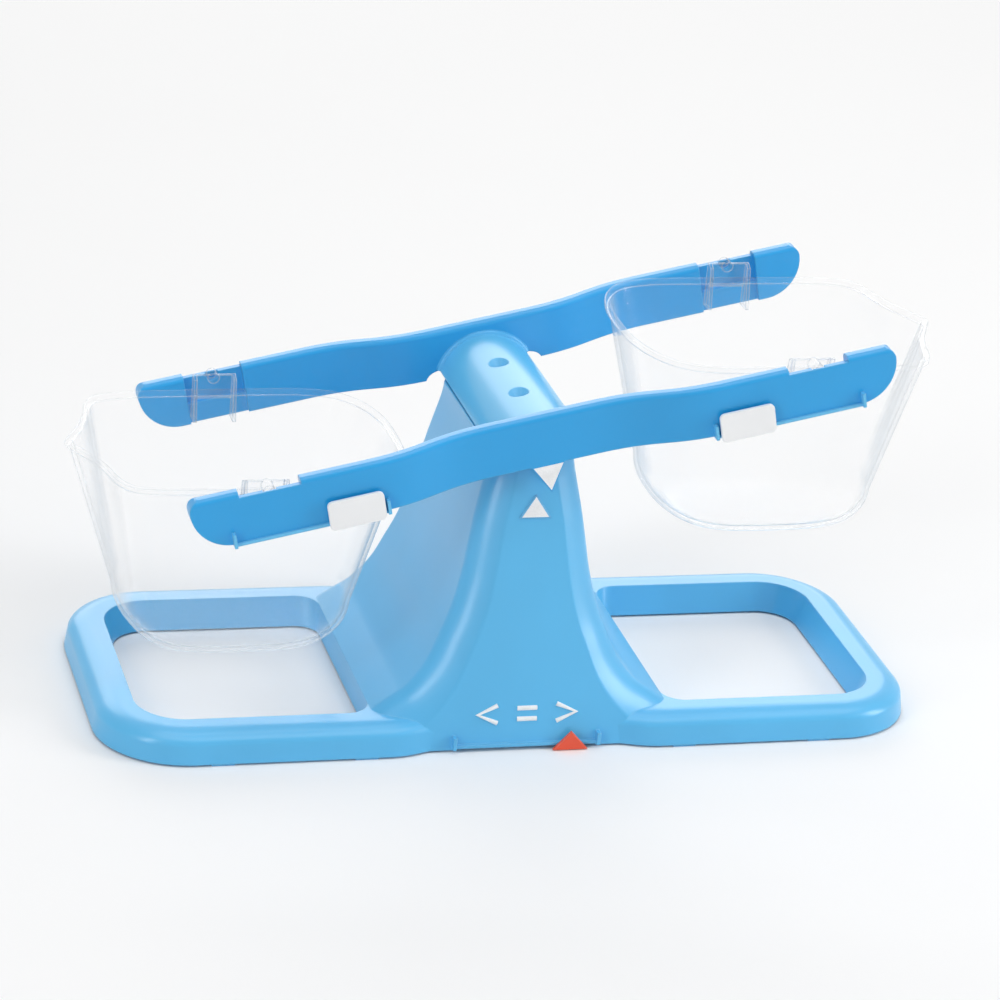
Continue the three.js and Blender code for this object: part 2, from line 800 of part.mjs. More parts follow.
// A red triangle with a clip that straddles the lip at the foot of the tower
function makeIndicator() {
  const face = frontFaceAt(track_lift);
  const plateBack = face - track_lip_stand - fit_gap;
  const plateFront = plateBack - indicator_plate;
  const webTop = track_lift - fit_gap;
  const webBottom = webTop - indicator_web;
  const legTop = webBottom + indicator_leg_height;
  const legFront = frontFaceAt(legTop) + base_wall + fit_gap;
  const legBack = legFront + indicator_leg;
  const shape = uprightTriangle(indicator_half_width, webTop - indicator_web, webBottom + indicator_height);
  const plate = prismBack(shape, plateFront, plateBack);
  const half = indicator_half_width / 2;
  const web = box([-half, half], [plateFront + indicator_plate / 2, legBack], [webBottom, webTop]);
  const leg = box([-half, half], [legFront, legBack], [webBottom, legTop]);
  const mesh = makeMesh('indicator', plate.add(web).add(leg), indicator_red, 0.4);
  mesh.position.set(indicator_place, 0, 0);
  return mesh;
}

function bucketOutline(shares, grow) {
  const place = ([along, across]) => {
    const reach = along > 0 ? bucket_spout_reach : bucket_inner_reach;
    const x = along * reach * (1 + grow / bucket_inner_reach);
    return new THREE.Vector3(x, across * bucket_half_width * (1 + grow / bucket_half_width), 0);
  };
  const half = shares.map(place);
  const other = half.slice(1, -1).map((point) => new THREE.Vector3(point.x, -point.y, 0));
  return [...half, ...other.reverse()];
}

function blendOutline(from, to, share, height) {
  const points = from.map((point, i) => point.clone().lerp(to[i], share));
  const curve = new THREE.CatmullRomCurve3(points, true, 'centripetal');
  const ring = [];
  for (let i = 0; i < bucket_outline_points; i += 1) {
    const point = curve.getPoint(i / bucket_outline_points);
    ring.push(new THREE.Vector3(point.x, point.y, height));
  }
  return ring;
}

// The bucket's form: a tapering side, a rounded knuckle, then the floor
function bucketForm(grow, floorRise, top) {
  const rim = bucketOutline(bucket_rim_shares, grow);
  const knuckle = bucketOutline(bucket_knuckle_shares, grow);
  const floor = bucketOutline(bucket_floor_shares, grow);
  const rimHeight = -bucket_rim_drop;
  const floorHeight = rimHeight - bucket_height + floorRise;
  const knuckleHeight = floorHeight + bucket_knuckle_height - floorRise;
  const rings = [];
  if (top > rimHeight) rings.push(blendOutline(rim, knuckle, 0, top));
  for (let step = 0; step <= bucket_side_steps; step += 1) {
    const share = step / bucket_side_steps;
    const height = THREE.MathUtils.lerp(rimHeight, knuckleHeight, share);
    rings.push(blendOutline(rim, knuckle, share, height));
  }
  for (let step = 1; step <= bucket_knuckle_steps; step += 1) {
    const angle = (step / bucket_knuckle_steps) * (Math.PI / 2);
    const height = THREE.MathUtils.lerp(knuckleHeight, floorHeight, Math.sin(angle));
    rings.push(blendOutline(knuckle, floor, 1 - Math.cos(angle), height));
  }
  return loft(rings, seenFromAbove);
}

function bucketRimLip() {
  const rim = bucketOutline(bucket_rim_shares, bucket_rim_lip);
  const top = -bucket_rim_drop;
  const rings = [top - bucket_rim_lip_height, top].map((height) => blendOutline(rim, rim, 0, height));
  return loft(rings, seenFromAbove);
}

// Two ribs, a plate between them and the pin that lies in the arm's slot
function bucketEar(side) {
  const plateOuter = arm_inner_half - fit_gap;
  const plateInner = plateOuter - ear_wall;
  const pinEnd = arm_outer_half - slot_end_wall - pin_end_gap;
  const y = (from, to) => (side > 0 ? [from, to] : [-to, -from]);
  const plate = box([-ear_half_width, ear_half_width], y(plateInner, plateOuter), [-ear_plate_drop, ear_rise]);
  const circle = new THREE.Shape();
  circle.absarc(0, 0, pin_radius, 0, 2 * Math.PI, false);
  let ear = plate.add(prismBack(circle, ...y(plateInner, pinEnd), round_steps));
  for (const end of side_sign) {
    const outer = end * ear_half_width;
    const inner = outer - end * ear_wall;
    const x = [Math.min(outer, inner), Math.max(outer, inner)];
    ear = ear.add(box(x, y(ear_root - bucket_wall, plateOuter), [-ear_rib_drop, ear_rise]));
  }
  return ear;
}

function makeBucket(name) {
  let bucket = bucketForm(0, 0, -bucket_rim_drop).add(bucketRimLip());
  for (const side of side_sign) bucket = bucket.add(bucketEar(side));
  bucket = bucket.subtract(bucketForm(-bucket_wall, bucket_wall, bucket_rim_lip_height));
  return makeMesh(name, bucket, bucket_clear, 0.08, 0.3);
}

const model = new THREE.Group();
model.add(makeBase());
model.add(makeIndicator());

const tilting = new THREE.Group();
tilting.position.set(0, 0, pivot_height);
tilting.rotation.y = -tilt_angle;
tilting.add(makeBeam());
tilting.add(makeCompensator('compensator_left', -1));
tilting.add(makeCompensator('compensator_right', 1));
model.add(tilting);

for (const side of side_sign) {
  const hanger = new THREE.Group();
  hanger.position.set(side * hang_place, 0, hang_rise);
  hanger.position.applyAxisAngle(new THREE.Vector3(0, 1, 0), -tilt_angle);
  hanger.position.z += pivot_height;
  hanger.rotation.z = side > 0 ? 0 : Math.PI;
  hanger.add(makeBucket(side > 0 ? 'bucket_right' : 'bucket_left'));
  model.add(hanger);
}

export default model;
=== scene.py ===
"""Bucket balance for early maths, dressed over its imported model.

Metres, +Z up, +X along the beam to the right, -Y the front. Sizes in the classes are millimetres.
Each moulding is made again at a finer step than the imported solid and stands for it.
"""

import logging
import math
from dataclasses import dataclass
from enum import Enum
from functools import cache, cached_property
from typing import Callable, Sequence

import bmesh
import bpy
import numpy as np
from mathutils import Matrix, Vector


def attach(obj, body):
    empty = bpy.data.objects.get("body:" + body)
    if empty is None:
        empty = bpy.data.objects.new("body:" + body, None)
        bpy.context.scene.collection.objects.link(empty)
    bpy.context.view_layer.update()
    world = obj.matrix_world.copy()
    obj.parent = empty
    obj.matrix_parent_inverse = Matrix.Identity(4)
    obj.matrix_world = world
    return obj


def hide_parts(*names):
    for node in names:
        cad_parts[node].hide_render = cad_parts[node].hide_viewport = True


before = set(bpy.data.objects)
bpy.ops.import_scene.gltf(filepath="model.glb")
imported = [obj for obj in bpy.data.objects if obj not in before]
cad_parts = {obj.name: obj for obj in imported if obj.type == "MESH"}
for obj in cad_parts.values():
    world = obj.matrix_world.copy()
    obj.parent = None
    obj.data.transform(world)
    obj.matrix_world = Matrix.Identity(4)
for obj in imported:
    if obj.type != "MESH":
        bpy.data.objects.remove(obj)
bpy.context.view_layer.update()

LOG = logging.getLogger("balance")
MM = 0.001  # a millimetre, in metres
OVERRUN = 1.0  # how far a cutter runs past what it cuts
SAME_SPOT = 1e-5  # how near the corners of a new mesh are merged
MERGED = 2e-3  # how near the corners of a finished piece are merged
ROUNDED_PAST = math.radians(40)  # the turn past which an edge is rounded
QUARTER = math.pi / 2  # a quarter turn
Pair = tuple[float, float]
Ring = list[tuple[float, float, float]]
Colour = tuple[float, float, float]


class End(Enum):
    """An end of the balance, as the sign of its X."""

    LEFT = -1
    RIGHT = 1


class Facing(Enum):
    """A side of the balance, as the sign of its Y."""

    FRONT = -1
    BACK = 1


class Axis(Enum):
    """The way a flat outline is run into a prism."""

    BACK = "back"
    UP = "up"


def linear(colour: Colour) -> tuple[float, float, float, float]:
    """Turns a display colour into a scene colour.

    Args:
        colour: Red, green and blue as displayed, from 0 to 1.

    Returns:
        The same colour in linear light, with full alpha.
    """
    parts = [c / 12.92 if c <= 0.04045 else ((c + 0.055) / 1.055) ** 2.4 for c in colour]
    return (parts[0], parts[1], parts[2], 1.0)


def lerp(start: float, end: float, share: float) -> float:
    """Returns the value a share of the way from start to end."""
    return start + (end - start) * share


def hermite(start: np.ndarray, end: np.ndarray, leave: np.ndarray, arrive: np.ndarray,
            t: float) -> np.ndarray:
    """Returns a point on a cubic curve.

    Args:
        start: Where the curve starts.
        end: Where it ends.
        leave: Its speed at the start.
        arrive: Its speed at the end.
        t: The share of the way, from 0 to 1.

    Returns:
        The point.
    """
    cubic = (2 * start - 2 * end + leave + arrive) * t**3
    return cubic + (-3 * start + 3 * end - 2 * leave - arrive) * t**2 + leave * t + start


# Outlines and solids


class Outline:
    """A flat outline drawn stroke by stroke, in millimetres."""

    def __init__(self, start: Pair) -> None:
        """Starts the outline at a point."""
        self.points: list[Pair] = [start]

    def line(self, *points: Pair) -> "Outline":
        """Adds straight strokes to each point in turn."""
        self.points.extend(points)
        return self

    def arc(self, centre: Pair, radii: Pair, start: float, end: float, steps: int) -> "Outline":
        """Adds an arc of a circle or ellipse.

        Args:
            centre: The centre of the arc.
            radii: The half widths along the two axes.
            start: The angle at which the arc starts, in radians.
            end: The angle at which it ends.
            steps: The number of straight pieces.

        Returns:
            The outline itself.
        """
        for step in range(steps + 1):
            angle = lerp(start, end, step / steps)
            across = centre[0] + radii[0] * math.cos(angle)
            self.points.append((across, centre[1] + radii[1] * math.sin(angle)))
        return self

    def bend(self, first: Pair, second: Pair, end: Pair, steps: int) -> "Outline":
        """Adds a cubic curve from the last point.

        Args:
            first: The first handle.
            second: The second handle.
            end: Where the curve ends.
            steps: The number of straight pieces.

        Returns:
            The outline itself.
        """
        start = self.points[-1]
        for step in range(1, steps + 1):
            t = step / steps
            weights = ((1 - t) ** 3, 3 * t * (1 - t) ** 2, 3 * t * t * (1 - t), t**3)
            corners = (start, first, second, end)
            x = sum(w * c[0] for w, c in zip(weights, corners))
            self.points.append((x, sum(w * c[1] for w, c in zip(weights, corners))))
        return self

    def closed(self, least: float = 1e-4) -> list[Pair]:
        """Returns the points without the neighbours that lie on each other.

        Args:
            least: The distance up to which two points are one.

        Returns:
            The points that are left.
        """
        kept: list[Pair] = []
        for point in self.points:
            if not kept or math.dist(point, kept[-1]) > least:
                kept.append(point)
        if math.dist(kept[0], kept[-1]) <= least:
            kept.pop()
        return kept


class Solid:
    """A closed mesh, in millimetres, that others can be joined to or cut from."""

    def __init__(self, points: Sequence[Sequence[float]], faces: Sequence[Sequence[int]],
                 edges: Sequence[Sequence[int]] = ()) -> None:
        """Makes the mesh and turns its faces outwards.

        Args:
            points: The corners.
            faces: The corner numbers of each face.
            edges: The corner numbers of each loose edge, where the mesh is a path.
        """
        mesh = bpy.data.meshes.new("solid")
        rows = [[tuple(row) for row in part] for part in (points, edges, faces)]
        mesh.from_pydata(*rows)
        self.body = bpy.data.objects.new("solid", mesh)
        bpy.context.scene.collection.objects.link(self.body)
        if faces:
            self.face_outwards()

    @classmethod
    def loft(cls, rings: Sequence[Sequence[Sequence[float]]]) -> "Solid":
        """Makes a skin over rings of equal count, with a flat cap at each end.

        Args:
            rings: The rings, each a closed run of points.

        Returns:
            The solid between the first ring and the last.
        """
        count = len(rings[0])
        faces: list[Sequence[int]] = []
        for ring in range(len(rings) - 1):
            for i in range(count):
                a, b = ring * count + i, ring * count + (i + 1) % count
                faces.append((a, b, b + count, a + count))
        last = (len(rings) - 1) * count
        faces.append(tuple(range(count)))
        faces.append(tuple(range(last, last + count)))
        return cls([point for ring in rings for point in ring], faces)

    @classmethod
    def prism(cls, outline: Outline, axis: Axis, low: float, high: float) -> "Solid":
        """Runs an outline straight along an axis.

        Args:
            outline: Drawn in X and Y for UP, or in X and Z for BACK.
            axis: Which way it is run.
            low: Where the prism starts.
            high: Where it ends.

        Returns:
            The prism.
        """
        flat = outline.closed()
        if axis is Axis.UP:
            return cls.loft([[(x, y, z) for x, y in flat] for z in (low, high)])
        return cls.loft([[(x, y, z) for x, z in flat] for y in (low, high)])

    @classmethod
    def block(cls, x: Pair, y: Pair, z: Pair) -> "Solid":
        """Makes a block between three pairs of limits.

        Args:
            x: Its left and right limits.
            y: Its front and back limits.
            z: Its lower and upper limits.

        Returns:
            The block.
        """
        flat = Outline((x[0], y[0])).line((x[1], y[0]), (x[1], y[1]), (x[0], y[1]))
        return cls.prism(flat, Axis.UP, *z)

    @classmethod
    def turned(cls, profile: Sequence[Pair], centre: Sequence[float], steps: int = 48) -> "Solid":
        """Turns a half profile about an upright line, with a flat cap at each end.

        Args:
            profile: Radius and height at each corner.
            centre: The point on the line where height is 0.
            steps: The number of faces round the line.

        Returns:
            The round solid.
        """
        rings = []
        for radius, height in profile:
            turns = [math.tau * i / steps for i in range(steps)]
            rings.append([
                (centre[0] + radius * math.cos(a), centre[1] + radius * math.sin(a), centre[2] + height)
                for a in turns
            ])
        return cls.loft(rings)

    @classmethod
    def path(cls, *runs: Sequence[Sequence[float]]) -> "Solid":
        """Makes bare paths, for a tree of Geometry Nodes to sweep a section along.

        Args:
            runs: The points of each path, in order.

        Returns:
            The paths, as edges without faces.
        """
        points: list[Sequence[float]] = []
        edges = []
        for run in runs:
            start = len(points)
            points.extend(run)
            edges.extend((i, i + 1) for i in range(start, len(points) - 1))
        return cls(points, (), edges)

    def face_outwards(self) -> "Solid":
        """Merges corners that lie on each other and turns every face outwards.

        Returns:
            The solid itself.
        """
        def turn(bm: bmesh.types.BMesh) -> None:
            """Merges the corners and turns the faces.

            Args:
                bm: The mesh's edit form.
            """
            bmesh.ops.remove_doubles(bm, verts=bm.verts, dist=SAME_SPOT)
            bmesh.ops.recalc_face_normals(bm, faces=bm.faces)
            if bm.calc_volume(signed=True) < 0:
                bmesh.ops.reverse_faces(bm, faces=bm.faces)

        return self.edit(turn)

    def edit(self, change: Callable[[bmesh.types.BMesh], object]) -> "Solid":
        """Changes the mesh through a function that takes its edit form.

        Args:
            change: The function.

        Returns:
            The solid itself.
        """
        bm = bmesh.new()
        bm.from_mesh(self.body.data)
        change(bm)
        bm.to_mesh(self.body.data)
        bm.free()
        return self

    def combine(self, other: "Solid", operation: str) -> "Solid":
        """Joins, cuts or crosses this solid with another, which is used up.

        Args:
            other: The other solid.
            operation: UNION, DIFFERENCE or INTERSECT.

        Returns:
            This solid, changed.
        """
        modifier = self.body.modifiers.new("combine", "BOOLEAN")
        modifier.solver = "MANIFOLD"
        modifier.operation = operation
        modifier.object = other.body
        self.settle()
        bpy.data.objects.remove(other.body)
        return self

    def settle(self) -> "Solid":
        """Turns what the modifiers make into the plain mesh.

        Returns:
            The solid itself.
        """
        view = bpy.context.evaluated_depsgraph_get()
        view.update()
        mesh = bpy.data.meshes.new_from_object(self.body.evaluated_get(view))
        self.body.modifiers.clear()
        self.body.data = mesh
        return self

    def join(self, *others: "Solid") -> "Solid":
        """Joins other solids to this one.

        Args:
            others: The other solids, which are used up.

        Returns:
            This solid, changed.
        """
        for other in others:
            self.combine(other, "UNION")
        return self

    def cut(self, *others: "Solid") -> "Solid":
        """Cuts other solids from this one.

        Args:
            others: The other solids, which are used up.

        Returns:
            This solid, changed.
        """
        for other in others:
            self.combine(other, "DIFFERENCE")
        return self

    def keep(self, other: "Solid") -> "Solid":
        """Keeps only what lies inside the other solid."""
        return self.combine(other, "INTERSECT")

    def copy(self) -> "Solid":
        """Returns a second solid of the same shape.

        Returns:
            The copy.
        """
        twin = object.__new__(Solid)
        twin.body = self.body.copy()
        twin.body.data = self.body.data.copy()
        bpy.context.scene.collection.objects.link(twin.body)
        return twin

    def moved(self, matrix: Matrix) -> "Solid":
        """Moves the mesh by a matrix, and keeps its faces outwards where the matrix mirrors.

        Args:
            matrix: Where it is moved to.

        Returns:
            The solid itself.
        """
        self.body.data.transform(matrix)
        if matrix.determinant() < 0:
            self.body.data.flip_normals()
        return self

    def piece(self, name: str, finish: "Finish", body: str, node: str | None = None,
              crease: float = 32.0, edge: float = 0.0, flat: float = 0.25) -> bpy.types.Object:
        """Finishes the solid as a piece of the model.

        Args:
            name: The piece's name.
            finish: What its surface is.
            body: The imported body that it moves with.
            node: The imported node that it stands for, if it stands for one.
            crease: The angle in degrees past which an edge stays sharp.
            edge: The radius that sharp edges are rounded to.
            flat: The angle in degrees below which neighbouring faces are merged.

        Returns:
            The piece's object, in metres.
        """
        def tidy(bm: bmesh.types.BMesh) -> None:
            """Merges the corners and the flat faces.

            Args:
                bm: The mesh's edit form.
            """
            bmesh.ops.remove_doubles(bm, verts=bm.verts, dist=MERGED)
            limit = math.radians(flat)
            bmesh.ops.dissolve_limit(bm, angle_limit=limit, verts=bm.verts, edges=bm.edges)

        if flat > 0:
            self.edit(tidy)
        if edge > 0:
            rounding = self.body.modifiers.new("edge", "BEVEL")
            rounding.width = edge
            rounding.segments = 2
            rounding.angle_limit = ROUNDED_PAST
            rounding.use_clamp_overlap = False
            rounding.miter_outer = "MITER_ARC"
            self.settle()
        self.body.data.transform(Matrix.Scale(MM, 4))
        self.body.data.shade_smooth()
        self.body.data.set_sharp_from_angle(angle=math.radians(crease))
        even = self.body.modifiers.new("even", "WEIGHTED_NORMAL")
        even.keep_sharp = True
        self.settle()
        self.body.name = name
        self.body.data.name = name
        finish.dress(self.body)
        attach(self.body, body)
        if node:
            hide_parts(node)
        LOG.info("%s: %d faces", name, len(self.body.data.polygons))
        return self.body


# Node trees and finishes


class Wire:
    """A socket that adds, multiplies and compares through Math nodes."""

    def __init__(self, graph: "Graph", socket: bpy.types.NodeSocket) -> None:
        """Wraps a socket of a graph."""
        self.graph = graph
        self.socket = socket

    def _math(self, operation: str, *values: object) -> "Wire":
        """Adds one Math node over this wire and others."""
        return self.graph.node("ShaderNodeMath", {"operation": operation}, dict(enumerate(values)))

    def __add__(self, other: object) -> "Wire":
        """Adds."""
        return self._math("ADD", self, other)

    __radd__ = __add__

    def __sub__(self, other: object) -> "Wire":
        """Takes away."""
        return self._math("SUBTRACT", self, other)

    def __rsub__(self, other: object) -> "Wire":
        """Takes this wire away from a number."""
        return self._math("SUBTRACT", other, self)

    def __mul__(self, other: object) -> "Wire":
        """Multiplies."""
        return self._math("MULTIPLY", self, other)

    __rmul__ = __mul__

    def size(self) -> "Wire":
        """Returns the value without its sign."""
        return self._math("ABSOLUTE", self)

    def clamp(self, low: float = 0.0, high: float = 1.0) -> "Wire":
        """Holds the value between two limits."""
        raised = self._math("MAXIMUM", self, low)
        return self._math("MINIMUM", raised, high)

    def step(self, low: float, high: float) -> "Wire":
        """Maps low to 0 and high to 1, smoothly."""
        settings = {"interpolation_type": "SMOOTHSTEP"}
        return self.graph.node("ShaderNodeMapRange", settings, {0: self, 1: low, 2: high})


class Graph:
    """A node tree that is built node by node."""

    def __init__(self, tree: bpy.types.NodeTree) -> None:
        """Empties a tree and keeps its nodes and links.

        Args:
            tree: The tree.
        """
        self.nodes = tree.nodes
        self.links = tree.links
        self.nodes.clear()

    def node(self, kind: str, settings: dict[str, object], inputs: dict[object, object],
             output: int | str = 0) -> Wire:
        """Adds a node.

        Args:
            kind: The node's type.
            settings: Its own settings, set before its sockets.
            inputs: The value or wire of each socket, by name or number.
            output: Which socket to return.

        Returns:
            The wire from that socket.
        """
        made = self.nodes.new(kind)
        for name, value in settings.items():
            setattr(made, name, value)
        for key, value in inputs.items():
            if isinstance(value, Wire):
                self.links.new(value.socket, made.inputs[key])
            else:
                made.inputs[key].default_value = value
        return Wire(self, made.outputs[output])

    def end(self, kind: str, socket: str, wire: Wire) -> None:
        """Ends the graph in an output node."""
        self.links.new(wire.socket, self.nodes.new(kind).inputs[socket])


class Growth(Graph):
    """A Geometry Nodes tree that grows a solid over bare paths or points."""

    def __init__(self, name: str, **values: float | int) -> None:
        """Makes a tree whose named inputs take the given values.

        Args:
            name: The tree's name.
            values: The value of each named input.
        """
        self.tree = bpy.data.node_groups.new(name, "GeometryNodeTree")
        self.values = values
        sockets = self.tree.interface
        sockets.new_socket("Geometry", in_out="INPUT", socket_type="NodeSocketGeometry")
        for label, value in values.items():
            kind = "NodeSocketInt" if isinstance(value, int) else "NodeSocketFloat"
            sockets.new_socket(label, in_out="INPUT", socket_type=kind)
        sockets.new_socket("Material", in_out="INPUT", socket_type="NodeSocketMaterial")
        sockets.new_socket("Geometry", in_out="OUTPUT", socket_type="NodeSocketGeometry")
        super().__init__(self.tree)
        self.start = self.nodes.new("NodeGroupInput")

    def input(self, label: str) -> Wire:
        """Returns the wire from a named input."""
        return Wire(self, self.start.outputs[label])

    def grow(self, shape: Wire, paths: Solid, finish: "Finish") -> Solid:
        """Ends the tree, runs it over paths and keeps what it made.

        Args:
            shape: The wire of the grown geometry.
            paths: The paths or points, which are used up.
            finish: What the surface is.

        Returns:
            The grown solid.
        """
        real = self.node("GeometryNodeRealizeInstances", {}, {"Geometry": shape})
        inputs = {"Geometry": real, "Material": self.input("Material")}
        dressed = self.node("GeometryNodeSetMaterial", {}, inputs)
        self.end("NodeGroupOutput", "Geometry", dressed)
        modifier = paths.body.modifiers.new("growth", "NODES")
        modifier.node_group = self.tree
        given = {**self.values, "Material": finish.material()}
        for item in self.tree.interface.items_tree:
            if item.in_out == "INPUT" and item.name in given:
                modifier[item.identifier] = given[item.name]
        return paths.settle().face_outwards()


def sweep(name: str, paths: Solid, radius: float, finish: "Finish", sides: int) -> Solid:
    """Sweeps a round section along paths.

    Args:
        name: The tree's name.
        paths: The paths.
        radius: The section's radius.
        finish: What the surface is.
        sides: The number of faces round the section.

    Returns:
        The closed bars.
    """
    tree = Growth(name, Radius=radius, Sides=sides)
    curve = tree.node("GeometryNodeMeshToCurve", {}, {"Mesh": tree.input("Geometry")})
    section = tree.node("GeometryNodeCurvePrimitiveCircle", {"mode": "RADIUS"},
                        {"Resolution": tree.input("Sides"), "Radius": tree.input("Radius")})
    bars = tree.node("GeometryNodeCurveToMesh", {},
                     {"Curve": curve, "Profile Curve": section, "Fill Caps": True})
    return tree.grow(bars, paths, finish)


def repeat(name: str, places: Sequence[Sequence[float]], size: Sequence[float],
           finish: "Finish") -> Solid:
    """Repeats a block at each of several places.

    Args:
        name: The tree's name.
        places: The middle of each block.
        size: The block's length, depth and height.
        finish: What the surface is.

    Returns:
        The blocks, as one solid.
    """
    tree = Growth(name, Length=size[0], Depth=size[1], Height=size[2])
    sides = {axis: tree.input(label) for axis, label in zip("XYZ", ("Length", "Depth", "Height"))}
    vector = tree.node("ShaderNodeCombineXYZ", {}, sides)
    block = tree.node("GeometryNodeMeshCube", {}, {"Size": vector})
    inputs = {"Points": tree.input("Geometry"), "Instance": block}
    placed = tree.node("GeometryNodeInstanceOnPoints", {}, inputs)
    return tree.grow(placed, Solid(places, ()), finish)


class Shader(Graph):
    """The node tree of one material.

    Attributes:
        edge_turn: The turn of the normal at which an edge starts to show, and shows in full.
        edge_samples: How many rays look for an edge.
        rounding_samples: How many rays round an edge.
    """

    edge_turn: Pair = (0.01, 0.2)
    edge_samples: int = 4
    rounding_samples: int = 6

    def __init__(self, name: str) -> None:
        """Makes an empty material of a name.

        Args:
            name: The material's name.
        """
        self.material = bpy.data.materials.new(name)
        self.material.use_nodes = True
        super().__init__(self.material.node_tree)

    def mix(self, share: object, first: object, second: object) -> Wire:
        """Mixes two colours by a share."""
        settings = {"data_type": "RGBA"}
        return self.node("ShaderNodeMix", settings, {0: share, 6: first, 7: second}, 2)

    def rounded(self, radius: float, samples: int = rounding_samples) -> Wire:
        """Returns the normal of the surface as if its edges were rounded to a radius in metres."""
        return self.node("ShaderNodeBevel", {"samples": samples}, {"Radius": radius})

    def point(self) -> Wire:
        """Returns the point on the piece, in metres."""
        return self.node("ShaderNodeTexCoord", {}, {}, "Object")

    def across(self) -> Wire:
        """Returns how far the point lies from the middle plane, from front to back."""
        return self.node("ShaderNodeSeparateXYZ", {}, {"Vector": self.point()}, "Y").size()

    def edge(self, radius: float) -> Wire:
        """Returns 1 on an edge of the piece and 0 away from it.

        Args:
            radius: How wide the edge is, in metres.

        Returns:
            The mask's wire.
        """
        rounded = self.rounded(radius, self.edge_samples)
        flat = self.node("ShaderNodeNewGeometry", {}, {}, "Normal")
        inputs = {0: rounded, 1: flat}
        turn = self.node("ShaderNodeVectorMath", {"operation": "DOT_PRODUCT"}, inputs, "Value")
        return (1 - turn.size()).step(*self.edge_turn)

    def bump(self, height: Wire, strength: float, distance: float, normal: Wire | None = None) -> Wire:
        """Returns the normal of a surface with a fine relief.

        Args:
            height: The relief, from 0 to 1.
            strength: The share of it that shows.
            distance: How deep it is, in metres.
            normal: The normal of the surface under it, if it isn't the mesh's own.

        Returns:
            The normal's wire.
        """
        inputs: dict[object, object] = {"Height": height, "Strength": strength, "Distance": distance}
        if normal is not None:
            inputs["Normal"] = normal
        return self.node("ShaderNodeBump", {}, inputs)

    def principled(self, inputs: dict[object, object]) -> Wire:
        """Returns the surface that the named inputs describe."""
        return self.node("ShaderNodeBsdfPrincipled", {}, inputs)

    def close(self, shader: Wire) -> bpy.types.Material:
        """Ends the tree in its output and returns the material."""
        self.end("ShaderNodeOutputMaterial", "Surface", shader)
        return self.material


@dataclass(frozen=True)
class Noise:
    """Soft noise over a piece, from 0 to 1.

    Attributes:
        per_metre: How many features there are in a metre.
        detail: How many finer layers it has.
        squeeze: How its scale is multiplied along each axis.
        limits: The values that are stretched to 0 and 1, or nothing where it stays as it is.
    """

    per_metre: float
    detail: float = 2.0
    squeeze: tuple[float, float, float] = (1.0, 1.0, 1.0)
    limits: Pair | None = None

    def wire(self, tree: Shader) -> Wire:
        """Adds the noise to a material.

        Args:
            tree: The material's tree.

        Returns:
            The noise's wire.
        """
        point = tree.node("ShaderNodeMapping", {}, {"Vector": tree.point(), "Scale": self.squeeze})
        inputs = {"Vector": point, "Scale": self.per_metre, "Detail": self.detail}
        noise = tree.node("ShaderNodeTexNoise", {}, inputs)
        return noise.step(*self.limits) if self.limits else noise


@dataclass(frozen=True)
class Finish:
    """What the surface of a piece is.

    Attributes:
        name: The material's name.
        slot: The record's slot that it belongs to; not used.
        colour: The displayed colour.
    """

    name: str
    slot: str
    colour: Colour

    def make(self) -> bpy.types.Material:
        """Makes the material."""
        raise NotImplementedError

    @cache
    def material(self) -> bpy.types.Material:
        """Returns the material, made once."""
        return self.make()

    def dress(self, piece: bpy.types.Object) -> None:
        """Puts the material on a piece."""
        piece.data.materials.clear()
        piece.data.materials.append(self.material())


